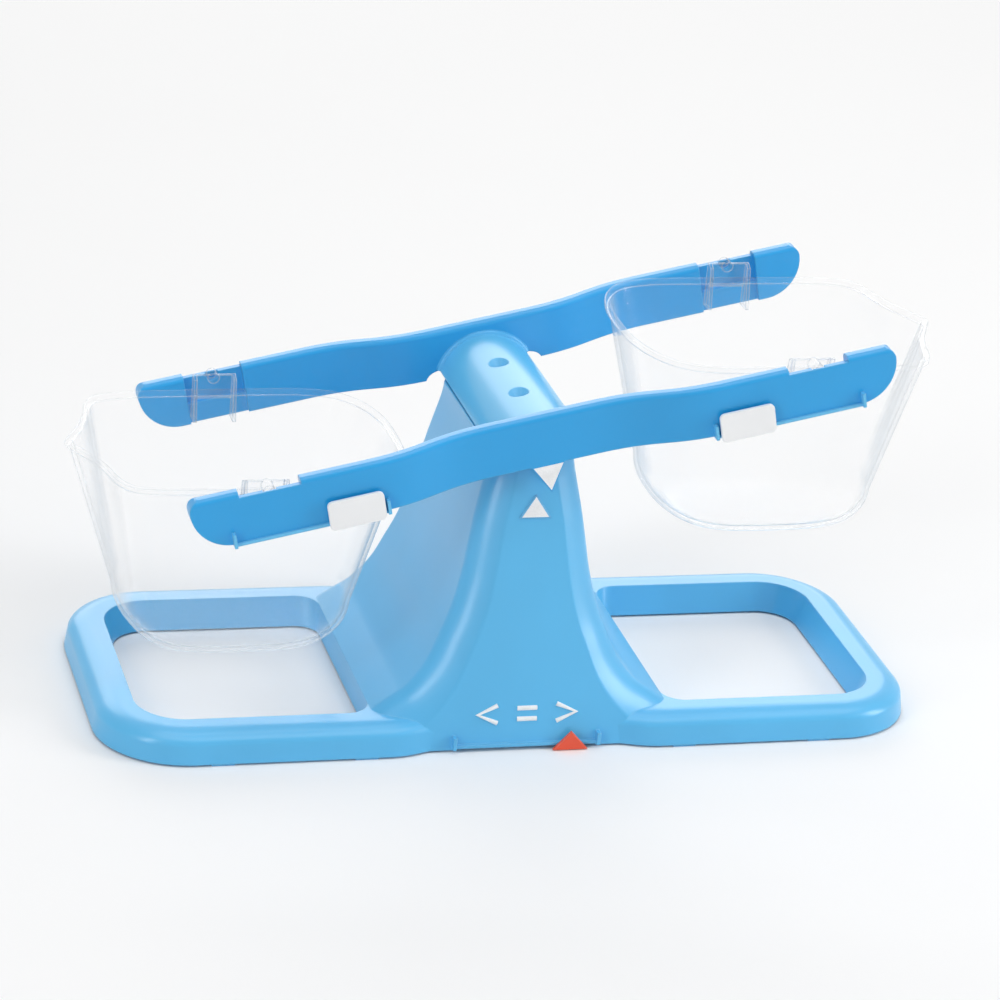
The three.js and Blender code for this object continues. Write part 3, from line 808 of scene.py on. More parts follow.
@dataclass(frozen=True)
class MouldedPlastic(Finish):
    """Coloured plastic from a polished mould.

    Attributes:
        roughness: How dull it is.
        depth: How much the colour deepens where the resin flowed unevenly.
        coat: The weight of the clear gloss over it.
        coat_roughness: How dull that gloss is.
        ior: How strongly the plastic mirrors.
        painted_top_light_half: The half width in metres of a middle part, the hood, that is painted
            paler as painted top light, or 0.
        lips: The half width in metres past which only the narrow lips stand out; they are painted paler
            as a painted highlight on their lit tops, or 0.
        painted_top_light_fade: The width in metres over which the painted top light on the middle part
            fades in.
        lip_highlight_fade: The same for the painted highlight on the lips.
        pale: The share of white in the paler colour.
        worn: The share of the paler colour on the edges: partly wear, partly a painted highlight where
            the edges catch the light.
        rim_width: How far from an edge it is worn and painted lighter, in metres.
        rounding: The radius in metres that edges seem rounded to.
        clouds: The wide clouds of colour.
        flow: The marks of the resin's flow.
        grain: The grain of the mould.
        scuffs: The fine scuffs along the piece.
        flow_share: How much of the clouds comes from the flow.
        shade_limits: The values of the clouds that are the deepest and the plain colour.
        dulled: How much duller the flow, the scuffs and the edges make it.
        rough_limits: The limits of its roughness.
        raised: How much of the relief comes from the grain and from the scuffs.
        relief_share: The share of the relief that shows.
        relief: How deep the relief is, in metres.
    """

    roughness: float = 0.3
    depth: float = 0.03
    coat: float = 0.15
    coat_roughness: float = 0.12
    ior: float = 1.5
    painted_top_light_half: float = 0.0
    lips: float = 0.0
    painted_top_light_fade: float = 0.004
    lip_highlight_fade: float = 0.0002
    pale: float = 0.3
    worn: float = 0.6
    rim_width: float = 0.0009
    rounding: float = 0.0007
    clouds: Noise = Noise(14.0)
    flow: Noise = Noise(60.0, squeeze=(1.0, 1.0, 0.4))
    grain: Noise = Noise(2600.0)
    scuffs: Noise = Noise(900.0, 4.0, (1.0, 0.08, 1.0), (0.64, 0.8))
    flow_share: float = 0.2
    shade_limits: Pair = (0.3, 0.7)
    dulled: tuple[float, float, float] = (0.06, 0.08, 0.05)
    rough_limits: Pair = (0.12, 0.8)
    raised: Pair = (0.5, 0.1)
    relief_share: float = 0.12
    relief: float = 0.0001

    def tint(self, tree: Shader, shade: Wire, rim: Wire) -> Wire:
        """Returns the colour: deeper in clouds, paler on edges as wear and painted highlight, paler in
        the middle as painted top light and on the lips as painted highlight.

        Args:
            tree: The material's tree.
            shade: The clouds, from 0 to 1.
            rim: 1 on the edges.

        Returns:
            The colour's wire.
        """
        deep = linear(tuple(c * (1 - self.depth) for c in self.colour))
        pale = linear(tuple(lerp(c, 1.0, self.pale) for c in self.colour))
        colour = tree.mix(shade, deep, linear(self.colour))
        # Painted top light: the middle part of the beam, its hood, is painted paler, as if lit from
        # above.
        if self.painted_top_light_half:
            middle = 1 - tree.across().step(self.painted_top_light_half - self.painted_top_light_fade, self.painted_top_light_half)
            colour = tree.mix(middle, colour, pale)
        # Painted highlight: the lips that stand out past the arm's face are painted paler, as if their
        # tops caught the light.
        if self.lips:
            outer = tree.across().step(self.lips, self.lips + self.lip_highlight_fade)
            colour = tree.mix(outer, colour, pale)
        # Paler sharp edges: partly wear, partly a painted highlight where the edges catch the light.
        return tree.mix(rim * self.worn, colour, pale)

    def make(self) -> bpy.types.Material:
        """Makes the material.

        Returns:
            The material.
        """
        tree = Shader(self.name)
        clouds, flow = self.clouds.wire(tree), self.flow.wire(tree)
        grain, scuffs = self.grain.wire(tree), self.scuffs.wire(tree)
        rim = tree.edge(self.rim_width)
        shade = (clouds * (1 - self.flow_share) + flow * self.flow_share).step(*self.shade_limits)
        by_flow, by_scuffs, by_rim = self.dulled
        rough = self.roughness + (flow - 0.5) * by_flow + scuffs * by_scuffs + rim * by_rim
        height = grain * self.raised[0] + scuffs * self.raised[1]
        rounded = tree.rounded(self.rounding)
        inputs = {
            "Base Color": self.tint(tree, shade, rim),
            "Roughness": rough.clamp(*self.rough_limits),
            "IOR": self.ior,
            "Coat Weight": self.coat,
            "Coat Roughness": self.coat_roughness,
            "Normal": tree.bump(height, self.relief_share, self.relief, rounded),
        }
        return tree.close(tree.principled(inputs))


@dataclass(frozen=True)
class ClearPlastic(Finish):
    """Clear colourless plastic with walls so fine that it shows only where seen on edge; there and on
    its moulded edges it is painted grey-white, as painted reflection and painted highlight.

    Attributes:
        edge_tint_and_reflection: The grey that the wall takes where seen on edge: partly the tint of the
            long path through it, partly a painted reflection of darker surroundings.
        ior: How strongly it bends and mirrors.
        face: How much shows where the wall is seen square on.
        edge: How much shows where it is seen on edge.
        rim: How much more shows on its moulded edges, as painted highlight lines.
        rim_tint: How far those painted highlight lines take the edge grey.
        rim_width: How wide they are, in metres.
        slant: The slant at which the wall starts to show, and at which it is on edge.
        through: The share of the light that passes through what shows.
        haze: The clouds of haze.
        swirl: The swirls of the resin.
        scratches: The fine upright scratches.
        scratched: How much more shows on a scratch.
        dulled: How dull the haze and the scratches make it.
        rough_limits: The limits of its roughness.
        relief_share: The share of the swirls that shows in the relief.
        relief: How deep the swirls are, in metres.
    """

    edge_tint_and_reflection: Colour = (0.66, 0.72, 0.76)
    ior: float = 1.4
    face: float = 0.035
    edge: float = 0.75
    rim: float = 0.9
    rim_tint: float = 0.5
    rim_width: float = 0.0009
    slant: Pair = (0.6, 1.0)
    through: float = 0.3
    haze: Noise = Noise(24.0, 3.0)
    swirl: Noise = Noise(40.0, squeeze=(1.0, 1.0, 0.35))
    scratches: Noise = Noise(1500.0, 4.0, (1.0, 1.0, 0.04), (0.7, 0.84))
    scratched: float = 0.03
    dulled: Pair = (0.03, 0.08)
    rough_limits: Pair = (0.0, 0.3)
    relief_share: float = 0.08
    relief: float = 0.0005

    def make(self) -> bpy.types.Material:
        """Makes the material.

        Returns:
            The material.
        """
        tree = Shader(self.name)
        haze, scratches = self.haze.wire(tree), self.scratches.wire(tree)
        slant = tree.node("ShaderNodeLayerWeight", {}, {"Blend": 0.5}, "Facing")
        # Painted reflection: where the wall is seen on edge, it turns opaque and grey.
        along = slant.step(*self.slant)
        # Painted highlight: the moulded edges turn opaque and pale.
        moulded = tree.edge(self.rim_width)
        share = (along + moulded * self.rim_tint).clamp()
        wall = along * (self.edge - self.face) + self.face
        shown = wall + scratches * self.scratched + moulded * self.rim
        inputs = {
            "Base Color": tree.mix(share, linear(self.colour), linear(self.edge_tint_and_reflection)),
            "Roughness": (haze * self.dulled[0] + scratches * self.dulled[1]).clamp(*self.rough_limits),
            "IOR": self.ior,
            "Transmission Weight": self.through,
            "Alpha": shown.clamp(),
            "Normal": tree.bump(self.swirl.wire(tree), self.relief_share, self.relief),
        }
        return tree.close(tree.principled(inputs))


@dataclass(frozen=True)
class PrintedInk(Finish):
    """Matt ink or hot foil laid on the plastic.

    Attributes:
        roughness: How dull it is.
        worn: The share of its colour that is left where it is worn.
        specks: The fine specks.
        clouds: The worn clouds.
        speck_share: How much of the wear comes from the specks.
        wear_limits: The values of the wear that are the worn and the whole colour.
        dulled: How much the specks change its roughness.
        rough_limits: The limits of its roughness.
        relief_share: The share of the specks that shows in the relief.
        relief: How deep the specks are, in metres.
    """

    roughness: float = 0.42
    worn: float = 0.95
    specks: Noise = Noise(1800.0, 3.0)
    clouds: Noise = Noise(160.0)
    speck_share: float = 0.4
    wear_limits: Pair = (0.35, 0.65)
    dulled: float = 0.2
    rough_limits: Pair = (0.2, 0.7)
    relief_share: float = 0.15
    relief: float = 0.0001

    def make(self) -> bpy.types.Material:
        """Makes the material.

        Returns:
            The material.
        """
        tree = Shader(self.name)
        specks, clouds = self.specks.wire(tree), self.clouds.wire(tree)
        worn = linear(tuple(c * self.worn for c in self.colour))
        wear = specks * self.speck_share + clouds * (1 - self.speck_share)
        inputs = {
            "Base Color": tree.mix(wear.step(*self.wear_limits), worn, linear(self.colour)),
            "Roughness": (self.roughness + (specks - 0.5) * self.dulled).clamp(*self.rough_limits),
            "Normal": tree.bump(specks, self.relief_share, self.relief),
        }
        return tree.close(tree.principled(inputs))


SKY_BLUE = MouldedPlastic("sky_blue_plastic", "base_plastic", (0.35, 0.73, 0.93))
# The beam's hood is painted paler as painted top light, and its lips are painted paler as a painted
# highlight.
MID_BLUE = MouldedPlastic("mid_blue_plastic", "beam_plastic", (0.13, 0.64, 0.90),
                          painted_top_light_half=0.0465, lips=0.0601)
WHITE = MouldedPlastic("white_clip_plastic", "white_plastic", (0.97, 0.975, 0.98), roughness=0.4)
CORAL = MouldedPlastic("coral_plastic", "indicator_plastic", (0.93, 0.33, 0.2), roughness=0.4)
CLEAR = ClearPlastic("clear_bucket_plastic", "clear_plastic", (0.995, 0.998, 1.0))
WHITE_INK = PrintedInk("white_ink", "white_plastic", (0.97, 0.975, 0.98))


# Base


@dataclass
class BaseMoulding:
    """The hollow base: two open loops, the flared tower and the seats of the pivot."""

    length: float = 325.0
    depth: float = 136.0
    corner_radius: float = 34.0
    wall: float = 2.2
    rail_height: float = 12.5
    rail_width: float = 19.6
    skirt_height: float = 7.5
    skirt_draft: float = 1.0
    shoulder_width: float = 9.0
    inner_draft: float = 4.3
    loop_corner: float = 14.4
    loop_tower_corner: float = 9.0
    waist_inner: float = 29.0
    waist_outer: float = 55.0
    waist_depth: float = 4.5
    foot_height: float = 0.8
    tower_foot_half: float = 58.6
    tower_top_half: float = 16.8
    tower_height: float = 112.1
    foot_half_depth: float = 64.5
    top_half_depth: float = 44.2
    edge_foot: float = 12.5
    edge_top: float = 10.0
    edge_crease: float = 0.5
    edge_steps: int = 14
    side_steps: int = 64
    curve_steps: int = 20
    shoulder_steps: int = 12
    flare_steps: int = 60
    flare_step: float = 0.004
    flare: tuple[Pair, ...] = (
        (0, 1), (0.045, 0.842), (0.095, 0.675), (0.185, 0.507), (0.295, 0.388), (0.395, 0.292),
        (0.524, 0.208), (0.664, 0.148), (0.774, 0.1), (0.934, 0.017), (1, 0),
    )
    pivot_height: float = 122.3
    tilt: float = math.radians(12.23)
    hood_inner_radius: float = 17.4
    hood_drop: float = 14.1
    fit_gap: float = 0.35
    neck_half_depth: float = 43.5
    neck_flat_rise: float = 1.5
    cone_place: float = 15.3
    pit_tip: float = -0.4
    pit_tip_radius: float = 0.5
    pit_radius: float = 3.6
    boss_radius: float = 6.0
    boss_tip_radius: float = 3.9
    boss_below: float = 3.4
    pad_half: float = 6.0
    pad_base: float = 89.8
    pad_apex: float = 98.6
    pad_stand: float = 0.6
    track_half: float = 28.5
    track_lift: float = 1.6
    track_stand: float = 1.0
    track_thickness: float = 1.4
    stop_half: float = 0.7
    stop_stand: float = 2.4
    stop_height: float = 5.0
    pad_places: tuple[float, ...] = (-118.0, -63.0, 63.0, 118.0)
    pad_length: float = 9.0
    pad_depth: float = 3.2
    body: str = "base"

    def plan(self, inset: float) -> list[Pair]:
        """Returns the base's outline from above, drawn in by a distance.

        Args:
            inset: The distance.

        Returns:
            The outline's points.
        """
        right, back = self.length / 2 - inset, self.depth / 2 - inset
        radius = self.corner_radius - inset
        waist = back - self.waist_depth
        middle = (self.waist_inner + self.waist_outer) / 2
        n, r = self.curve_steps, (radius, radius)
        plan = Outline((-self.waist_inner, -waist)).line((self.waist_inner, -waist))
        plan.bend((middle, -waist), (middle, -back), (self.waist_outer, -back), n)
        plan.arc((right - radius, radius - back), r, -QUARTER, 0, n)
        plan.arc((right - radius, back - radius), r, 0, QUARTER, n)
        plan.line((self.waist_outer, back))
        plan.bend((middle, back), (middle, waist), (self.waist_inner, waist), n)
        plan.line((-self.waist_inner, waist))
        plan.bend((-middle, waist), (-middle, back), (-self.waist_outer, back), n)
        plan.arc((radius - right, back - radius), r, QUARTER, 2 * QUARTER, n)
        plan.arc((radius - right, radius - back), r, 2 * QUARTER, 3 * QUARTER, n)
        plan.line((-self.waist_outer, -back))
        plan.bend((-middle, -back), (-middle, -waist), (-self.waist_inner, -waist), n)
        return plan.closed()

    def plate(self, wall: float, bottom: float) -> Solid:
        """Returns the rails as a full plate with a rounded shoulder.

        Args:
            wall: How far the plate is drawn in.
            bottom: Where it starts.

        Returns:
            The plate.
        """
        rings = [[(x, y, bottom) for x, y in self.plan(wall)]]
        for step in range(self.shoulder_steps + 1):
            angle = step / self.shoulder_steps * QUARTER
            inset = self.skirt_draft + self.shoulder_width * (1 - math.cos(angle))
            rise = (self.rail_height - self.skirt_height) * math.sin(angle)
            height = self.skirt_height + rise - wall
            rings.append([(x, y, height) for x, y in self.plan(inset + wall)])
        return Solid.loft(rings)

    def loop(self, end: End, wall: float) -> Solid:
        """Returns the space inside a loop, let out by a wall.

        Args:
            end: Which loop.
            wall: The wall, or 0 for the loop itself.

        Returns:
            The space, as a solid.
        """
        rings = []
        for height in (-OVERRUN, self.rail_height + OVERRUN):
            grow = self.inner_draft * height / self.rail_height + wall
            left = self.tower_foot_half - wall
            right = self.length / 2 - self.rail_width + grow
            back = self.depth / 2 - self.rail_width + grow
            outer, inner = self.loop_corner + grow, self.loop_tower_corner + wall
            n, ro, ri = self.curve_steps, (outer, outer), (inner, inner)
            plan = Outline((left + inner, -back))
            plan.arc((right - outer, outer - back), ro, -QUARTER, 0, n)
            plan.arc((right - outer, back - outer), ro, 0, QUARTER, n)
            plan.arc((left + inner, back - inner), ri, QUARTER, 2 * QUARTER, n)
            plan.arc((left + inner, inner - back), ri, 2 * QUARTER, 3 * QUARTER, n)
            rings.append([(end.value * x, y, height) for x, y in plan.closed()])
        return Solid.loft(rings)

    @cached_property
    def flank_line(self) -> np.ndarray:
        """The tower's side as a smooth run of half widths and heights, from the foot up.

        Returns:
            The points, one in each row.
        """
        knots = np.array([
            (lerp(self.tower_top_half, self.tower_foot_half, out),
             lerp(self.rail_height, self.tower_height, up))
            for up, out in self.flare
        ])
        padded = np.vstack([knots[0], knots, knots[-1]])
        line = []
        for i in range(len(knots) - 1):
            p0, p1, p2, p3 = padded[i:i + 4]
            for t in np.linspace(0, 1, self.flare_steps, endpoint=False):
                line.append(hermite(p1, p2, (p2 - p0) / 2, (p3 - p1) / 2, t))
        line.append(knots[-1])
        return np.array(line)

    @cached_property
    def flank_shares(self) -> np.ndarray:
        """How far along the side each of its points lies, from 0 to 1."""
        steps = np.linalg.norm(np.diff(self.flank_line, axis=0), axis=1)
        return np.concatenate([[0], np.cumsum(steps)]) / steps.sum()

    def flank(self, share: float) -> tuple[np.ndarray, np.ndarray]:
        """Returns the point and the direction a share of the way up the tower's side.

        Args:
            share: The share, from 0 at the foot to 1.

        Returns:
            The point, and the unit vector along the side.
        """
        near = [min(max(share + d, 0), 1) for d in (-self.flare_step, 0, self.flare_step)]
        columns = self.flank_line.T
        spots = np.array([[np.interp(s, self.flank_shares, column) for column in columns] for s in near])
        way = spots[2] - spots[0]
        return spots[1], way / np.linalg.norm(way)

    def side(self, inset_at: Callable[[float], float], bottom: float, top_inset: float) -> list[Pair]:
        """Returns the tower's side from the foot up, drawn in along its normals.

        Args:
            inset_at: The distance at each share of the way up.
            bottom: Where the side starts.
            top_inset: How far the top is let down.

        Returns:
            Half width and height at each step.
        """
        top = self.tower_height - top_inset
        points = [(self.tower_foot_half - inset_at(0), bottom)]
        for step in range(self.side_steps + 1):
            share = step / self.side_steps
            point, way = self.flank(share)
            inset = inset_at(share)
            x = min(point[0] - way[1] * inset, self.tower_foot_half - inset_at(0))
            z = top if step == self.side_steps else min(point[1] + way[0] * inset, top)
            points.append((float(x), float(max(z, bottom))))
        return points

    def tower(self, wall: float, bottom: float) -> Solid:
        """Returns the tower, lofted from front to back.

        Args:
            wall: How far it is drawn in.
            bottom: Where it starts.

        Returns:
            The tower.
        """
        def radius(share: float) -> float:
            """Returns the radius of the long edges a share of the way up."""
            return lerp(self.edge_foot, self.edge_top, share) - wall

        def ring(step: int, facing: Facing) -> Ring:
            """Returns the tower's outline at one step round its long edges.

            Args:
                step: The step, from 0 at the sides to the last at the face.
                facing: The face that the edges lie at.

            Returns:
                The ring's points.
            """
            along = step / self.edge_steps
            behind = (1 - along) ** 2 + 2 * (1 - along) * along * self.edge_crease
            side = self.side(lambda s: wall + radius(s) * along**2, bottom, wall)
            half = []
            for i, (x, z) in enumerate(side):
                share = max(i - 1, 0) / self.side_steps
                depth = lerp(self.foot_half_depth, self.top_half_depth, z / self.tower_height) - wall
                half.append((x, facing.value * (depth - radius(share) * behind), z))
            return half + [(-x, y, z) for x, y, z in reversed(half)]

        steps = range(self.edge_steps + 1)
        rings = [ring(step, Facing.FRONT) for step in reversed(steps)]
        return Solid.loft(rings + [ring(step, Facing.BACK) for step in steps])

    def neck(self, wall: float, bottom: float) -> Solid:
        """Returns the neck: the room left inside the hood at both stops.

        Args:
            wall: How far it is drawn in.
            bottom: Where it starts.

        Returns:
            The neck.
        """
        radius = self.hood_inner_radius - self.fit_gap - wall
        x = self.hood_drop * math.sin(self.tilt)
        z = self.pivot_height - self.hood_drop * math.cos(self.tilt)
        start = math.asin((self.tower_height - OVERRUN - z) / radius)
        end = math.asin((self.pivot_height + self.neck_flat_rise - wall - z) / radius)
        right = radius * math.cos(start) - x
        outline = Outline((-right, bottom)).line((right, bottom))
        outline.arc((-x, z), (radius, radius), start, end, self.curve_steps)
        outline.arc((x, z), (radius, radius), math.pi - end, math.pi - start, self.curve_steps)
        half = self.neck_half_depth - wall
        return Solid.prism(outline, Axis.BACK, -half, half)

    def face(self, height: float) -> float:
        """Returns Y of the tower's front face at a height."""
        return -lerp(self.foot_half_depth, self.top_half_depth, height / self.tower_height)

    def pivot_seat(self, y: float) -> tuple[Solid, Solid]:
        """Returns the boss and the pit that a cone of the beam stands in.

        Args:
            y: Where the cone stands.

        Returns:
            The boss under the neck's top, and the pit to cut into it.
        """
        flat, tip, centre = self.neck_flat_rise, self.pit_tip, (0, y, self.pivot_height)
        low = (self.boss_tip_radius, tip - self.boss_below)
        boss = Solid.turned([low, (self.boss_radius, flat - self.wall / 2)], centre)
        slope = (self.pit_radius - self.pit_tip_radius) / (flat - tip)
        mouth = (self.pit_radius + slope * OVERRUN, flat + OVERRUN)
        return boss, Solid.turned([(self.pit_tip_radius, tip), mouth], centre)

    def triangle_pad(self) -> Solid:
        """Returns the raised triangle that lies along the tower's front.

        Returns:
            The triangle.
        """
        outline = Outline((-self.pad_half, self.pad_base))
        outline.line((self.pad_half, self.pad_base), (0, self.pad_apex))
        low = self.face(self.pad_base) - self.pad_stand
        pad = Solid.prism(outline, Axis.BACK, low, self.face(self.pad_apex) + self.wall / 2)
        return pad.keep(self.tower(-self.pad_stand, self.foot_height))

    def foot_pads(self) -> Solid:
        """Returns the pads that the base stands on.

        Returns:
            The pads, as one solid.
        """
        y = self.depth / 2 - self.skirt_draft / 2 - self.pad_depth / 2
        high = self.foot_height + self.wall
        places = [(x, facing.value * y, high / 2) for x in self.pad_places for facing in Facing]
        return repeat("foot_pads", places, (self.pad_length, self.pad_depth, high), SKY_BLUE)

    def track(self) -> list[Solid]:
        """Returns the lip and the two stops of the indicator's track.

        Returns:
            The lip, and then the stops.
        """
        low, half = self.track_lift, self.track_half
        face, root = self.face(low), self.face(low) + self.wall / 2
        deep = (face - self.track_stand, root)
        parts = [Solid.block((-half, half), deep, (low, low + self.track_thickness))]
        for end in End:
            x = (end.value * half - self.stop_half, end.value * half + self.stop_half)
            parts.append(Solid.block(x, (face - self.stop_stand, root), (low, low + self.stop_height)))
        return parts

    def build(self) -> bpy.types.Object:
        """Builds and dresses the base.

        Returns:
            The base's object.
        """
        outer = self.plate(0, self.foot_height).join(self.tower(0, self.foot_height))
        outer.join(self.neck(0, self.tower_height - OVERRUN))
        hollow = self.plate(self.wall, -OVERRUN).join(self.tower(self.wall, -OVERRUN))
        hollow.join(self.neck(self.wall, self.tower_height - self.wall - OVERRUN))
        for end in End:
            outer.cut(self.loop(end, 0))
            hollow.cut(self.loop(end, self.wall))
            boss, pit = self.pivot_seat(end.value * self.cone_place)
            hollow.cut(boss)
            outer.cut(pit)
        outer.cut(hollow)
        gate = self.track_half - self.stop_half
        deep = (-self.depth, self.face(0) + 2 * self.wall)
        outer.cut(Solid.block((-gate, gate), deep, (-OVERRUN, self.track_lift)))
        outer.join(*self.track(), self.triangle_pad(), self.foot_pads())
        return outer.piece("base_moulding", SKY_BLUE, self.body, "base")


# Beam


@dataclass
class BeamMoulding:
    """The rocking beam: two bowed arms bridged by the hood."""

    half_length: float = 136.5
    straight_half: float = 121.0
    top_rise: float = 10.5
    bottom_drop: float = 9.5
    outer_half: float = 60.0
    waist_half: float = 52.0
    bow_start: float = 20.0
    bow_end: float = 70.0
    thickness: float = 6.5
    wall: float = 1.8
    steps: int = 28
    rounding_steps: int = 8
    hood_radius: float = 19.6
    hood_wall: float = 2.2
    hood_rise: float = 5.5
    hood_skirt: float = 6.0
    cone_place: float = 15.3
    cone_tip_radius: float = 0.4
    cone_radius: float = 3.4
    cone_root: float = 1.1
    dimple_radius: float = 4.4
    dimple_tip_radius: float = 0.75
    dimple_depth: float = 3.9
    hang_place: float = 106.0
    hang_rise: float = 8.0
    saddle_length: float = 23.4
    saddle_drop: float = 1.9
    recess: float = 1.6
    pocket: float = 4.0
    pocket_height: float = 12.0
    skin: float = 1.1
    block_half: float = 14.0
    block_height: float = 13.0
    pin_radius: float = 2.2
    fit_gap: float = 0.35
    end_radius: float = 4.5
    top_rounding: float = 2.2
    collar: float = 1.3
    collar_sides: int = 16
    pointer_half: float = 6.5
    pointer_drop: float = 11.4
    pointer_thickness: float = 2.0
    lip_start: float = 63.0
    lip_end: float = 122.5
    lip_drop: float = 0.6
    lip_stand: float = 1.0
    lip_thickness: float = 1.2
    stop_width: float = 1.2
    stop_stand: float = 2.6
    stop_height: float = 5.6
    relief_half: float = 23.0
    relief_radius: float = 7.0
    pivot_height: float = 122.3
    tilt: float = math.radians(12.23)
    body: str = "beam"

    @property
    def rest(self) -> Matrix:
        """The place of the beam at its left stop."""
        up = Matrix.Translation((0, 0, self.pivot_height))
        return up @ Matrix.Rotation(-self.tilt, 4, "Y")

    def side(self, wall: float, below: float) -> Outline:
        """Returns an arm's outline from the front, drawn in by a wall.

        Args:
            wall: The wall.
            below: How far the outline runs out below.

        Returns:
            The outline.
        """
        bottom = -self.bottom_drop - below
        middle = self.top_rise - self.end_radius
        lower = (self.half_length - self.straight_half, middle + self.bottom_drop)
        upper = (self.end_radius - wall,) * 2
        end, corner = self.straight_half - wall, self.half_length - self.end_radius
        outline = Outline((-end, bottom)).line((end, bottom), (end, -self.bottom_drop))
        outline.arc((end, middle), lower, -QUARTER, 0, self.steps)
        outline.arc((corner, middle), upper, 0, QUARTER, self.steps)
        outline.arc((-corner, middle), upper, QUARTER, 2 * QUARTER, self.steps)
        outline.arc((-end, middle), lower, math.pi, 3 * QUARTER, self.steps)
        return outline.line((-end, bottom))

    def band(self, outer_wall: float, thickness: float) -> Outline:
        """Returns the back arm's plan between two distances from its outer face.

        Args:
            outer_wall: The distance at which it starts.
            thickness: How thick it is.

        Returns:
            The plan.
        """
        end = self.half_length + OVERRUN
        middle = (self.bow_start + self.bow_end) / 2
        n = self.steps

        def edge(outer: float, waist: float) -> list[Pair]:
            """Returns one face of the arm, from right to left.

            Args:
                outer: Its Y near the arm's ends.
                waist: Its Y at the arm's middle.

            Returns:
                The face's points.
            """
            line = Outline((end, outer)).line((self.bow_end, outer))
            line.bend((middle, outer), (middle, waist), (self.bow_start, waist), n)
            line.line((-self.bow_start, waist))
            line.bend((-middle, waist), (-middle, outer), (-self.bow_end, outer), n)
            return line.line((-end, outer)).points

        far = edge(self.outer_half - outer_wall, self.waist_half - outer_wall)
        drop = outer_wall + thickness
        near = edge(self.outer_half - drop, self.waist_half - drop)
        return Outline(far[0]).line(*far[1:], *reversed(near))

    def rounded_band(self) -> Solid:
        """Returns the back arm's plan as a solid whose top edges are rounded.

        Returns:
            The solid.
        """
        rings = [[(x, y, -self.half_length) for x, y in self.band(0, self.thickness).closed()]]
        low = self.top_rise - self.top_rounding
        for step in range(self.rounding_steps + 1):
            angle = step / self.rounding_steps * QUARTER
            inset = self.top_rounding * (1 - math.cos(angle))
            plan = self.band(inset, self.thickness - 2 * inset).closed()
            rings.append([(x, y, low + self.top_rounding * math.sin(angle)) for x, y in plan])
        return Solid.loft(rings)

    def saddle(self, end: End) -> Solid:
        """Returns the cut for one bucket: step, recess and slot.

        Args:
            end: Which bucket.

        Returns:
            The solid to cut.
        """
        centre, half = end.value * self.hang_place, self.saddle_length / 2
        x = (centre - half, centre + half)
        inner, top = self.outer_half - self.thickness, self.top_rise + OVERRUN
        near = inner - OVERRUN
        step = Solid.block(x, (near, self.outer_half + OVERRUN), (self.top_rise - self.saddle_drop, top))
        recess = Solid.block(x, (near, inner + self.recess), (-self.bottom_drop - OVERRUN, top))
        pocket = Solid.block(x, (near, inner + self.pocket), (self.top_rise - self.pocket_height, top))
        radius = self.pin_radius + self.fit_gap
        slot = Outline((centre - radius, top)).line((centre - radius, self.hang_rise))
        slot.arc((centre, self.hang_rise), (radius, radius), math.pi, 2 * math.pi, self.steps)
        slot.line((centre + radius, top))
        return step.join(recess, pocket, Solid.prism(slot, Axis.BACK, near, self.outer_half - self.skin))

    def arm(self) -> Solid:
        """Returns the back arm.

        Returns:
            The arm.
        """
        far, top = self.outer_half + OVERRUN, self.top_rise
        arm = Solid.prism(self.side(0, 0), Axis.BACK, 0, far)
        arm.keep(self.rounded_band())
        hollow = Solid.prism(self.side(self.wall, OVERRUN), Axis.BACK, 0, far)
        inner = self.band(self.wall, self.thickness - 2 * self.wall)
        hollow.keep(Solid.prism(inner, Axis.UP, -self.half_length, self.half_length))
        face = self.outer_half - self.thickness
        backing = (face, face + self.recess + self.wall / 2)
        for end in End:
            centre = end.value * self.hang_place
            x = (centre - self.block_half, centre + self.block_half)
            hollow.cut(Solid.block(x, (0, far), (top - self.block_height, top)))
            hollow.cut(Solid.block(x, backing, (-self.bottom_drop - 2 * OVERRUN, top)))
        arm.cut(hollow)
        for end in End:
            arm.cut(self.saddle(end))
        return arm

    def relief(self) -> Solid:
        """Returns the space under the middle of the back arm.

        Returns:
            The space, as a solid.
        """
        bottom, top = -self.bottom_drop - OVERRUN, -self.hood_skirt
        half, flat = self.relief_half, self.relief_half - self.relief_radius
        foot = half + OVERRUN
        outline = Outline((-foot, bottom)).line((foot, bottom))
        outline.bend(*self.corner((foot, bottom), (half, top), (flat, top)), self.steps)
        outline.line((-flat, top))
        outline.bend(*self.corner((-flat, top), (-half, top), (-foot, bottom)), self.steps)
        return Solid.prism(outline, Axis.BACK, 0, self.outer_half)

    @staticmethod
    def corner(start: Pair, handle: Pair, end: Pair) -> tuple[Pair, Pair, Pair]:
        """Returns the cubic handles and the end of a curve with one handle.

        Args:
            start: Where the curve starts.
            handle: Its one handle.
            end: Where it ends.

        Returns:
            The two cubic handles and the end.
        """
        share = 2 / 3
        first, second = ((lerp(x, handle[0], share), lerp(z, handle[1], share)) for x, z in (start, end))
        return first, second, end

    def arch(self, wall: float) -> Outline:
        """Returns the hood's arch from the front, from right to left, drawn in by a wall.

        Args:
            wall: The wall.

        Returns:
            The arch, as an open line.
        """
        centre, radius = self.hood_rise - self.hood_radius, self.hood_radius - wall
        start = math.asin((-self.hood_skirt - centre) / radius)
        arch = Outline((radius * math.cos(start), -self.hood_skirt))
        return arch.arc((0, centre), (radius, radius), start, math.pi - start, 3 * self.steps)

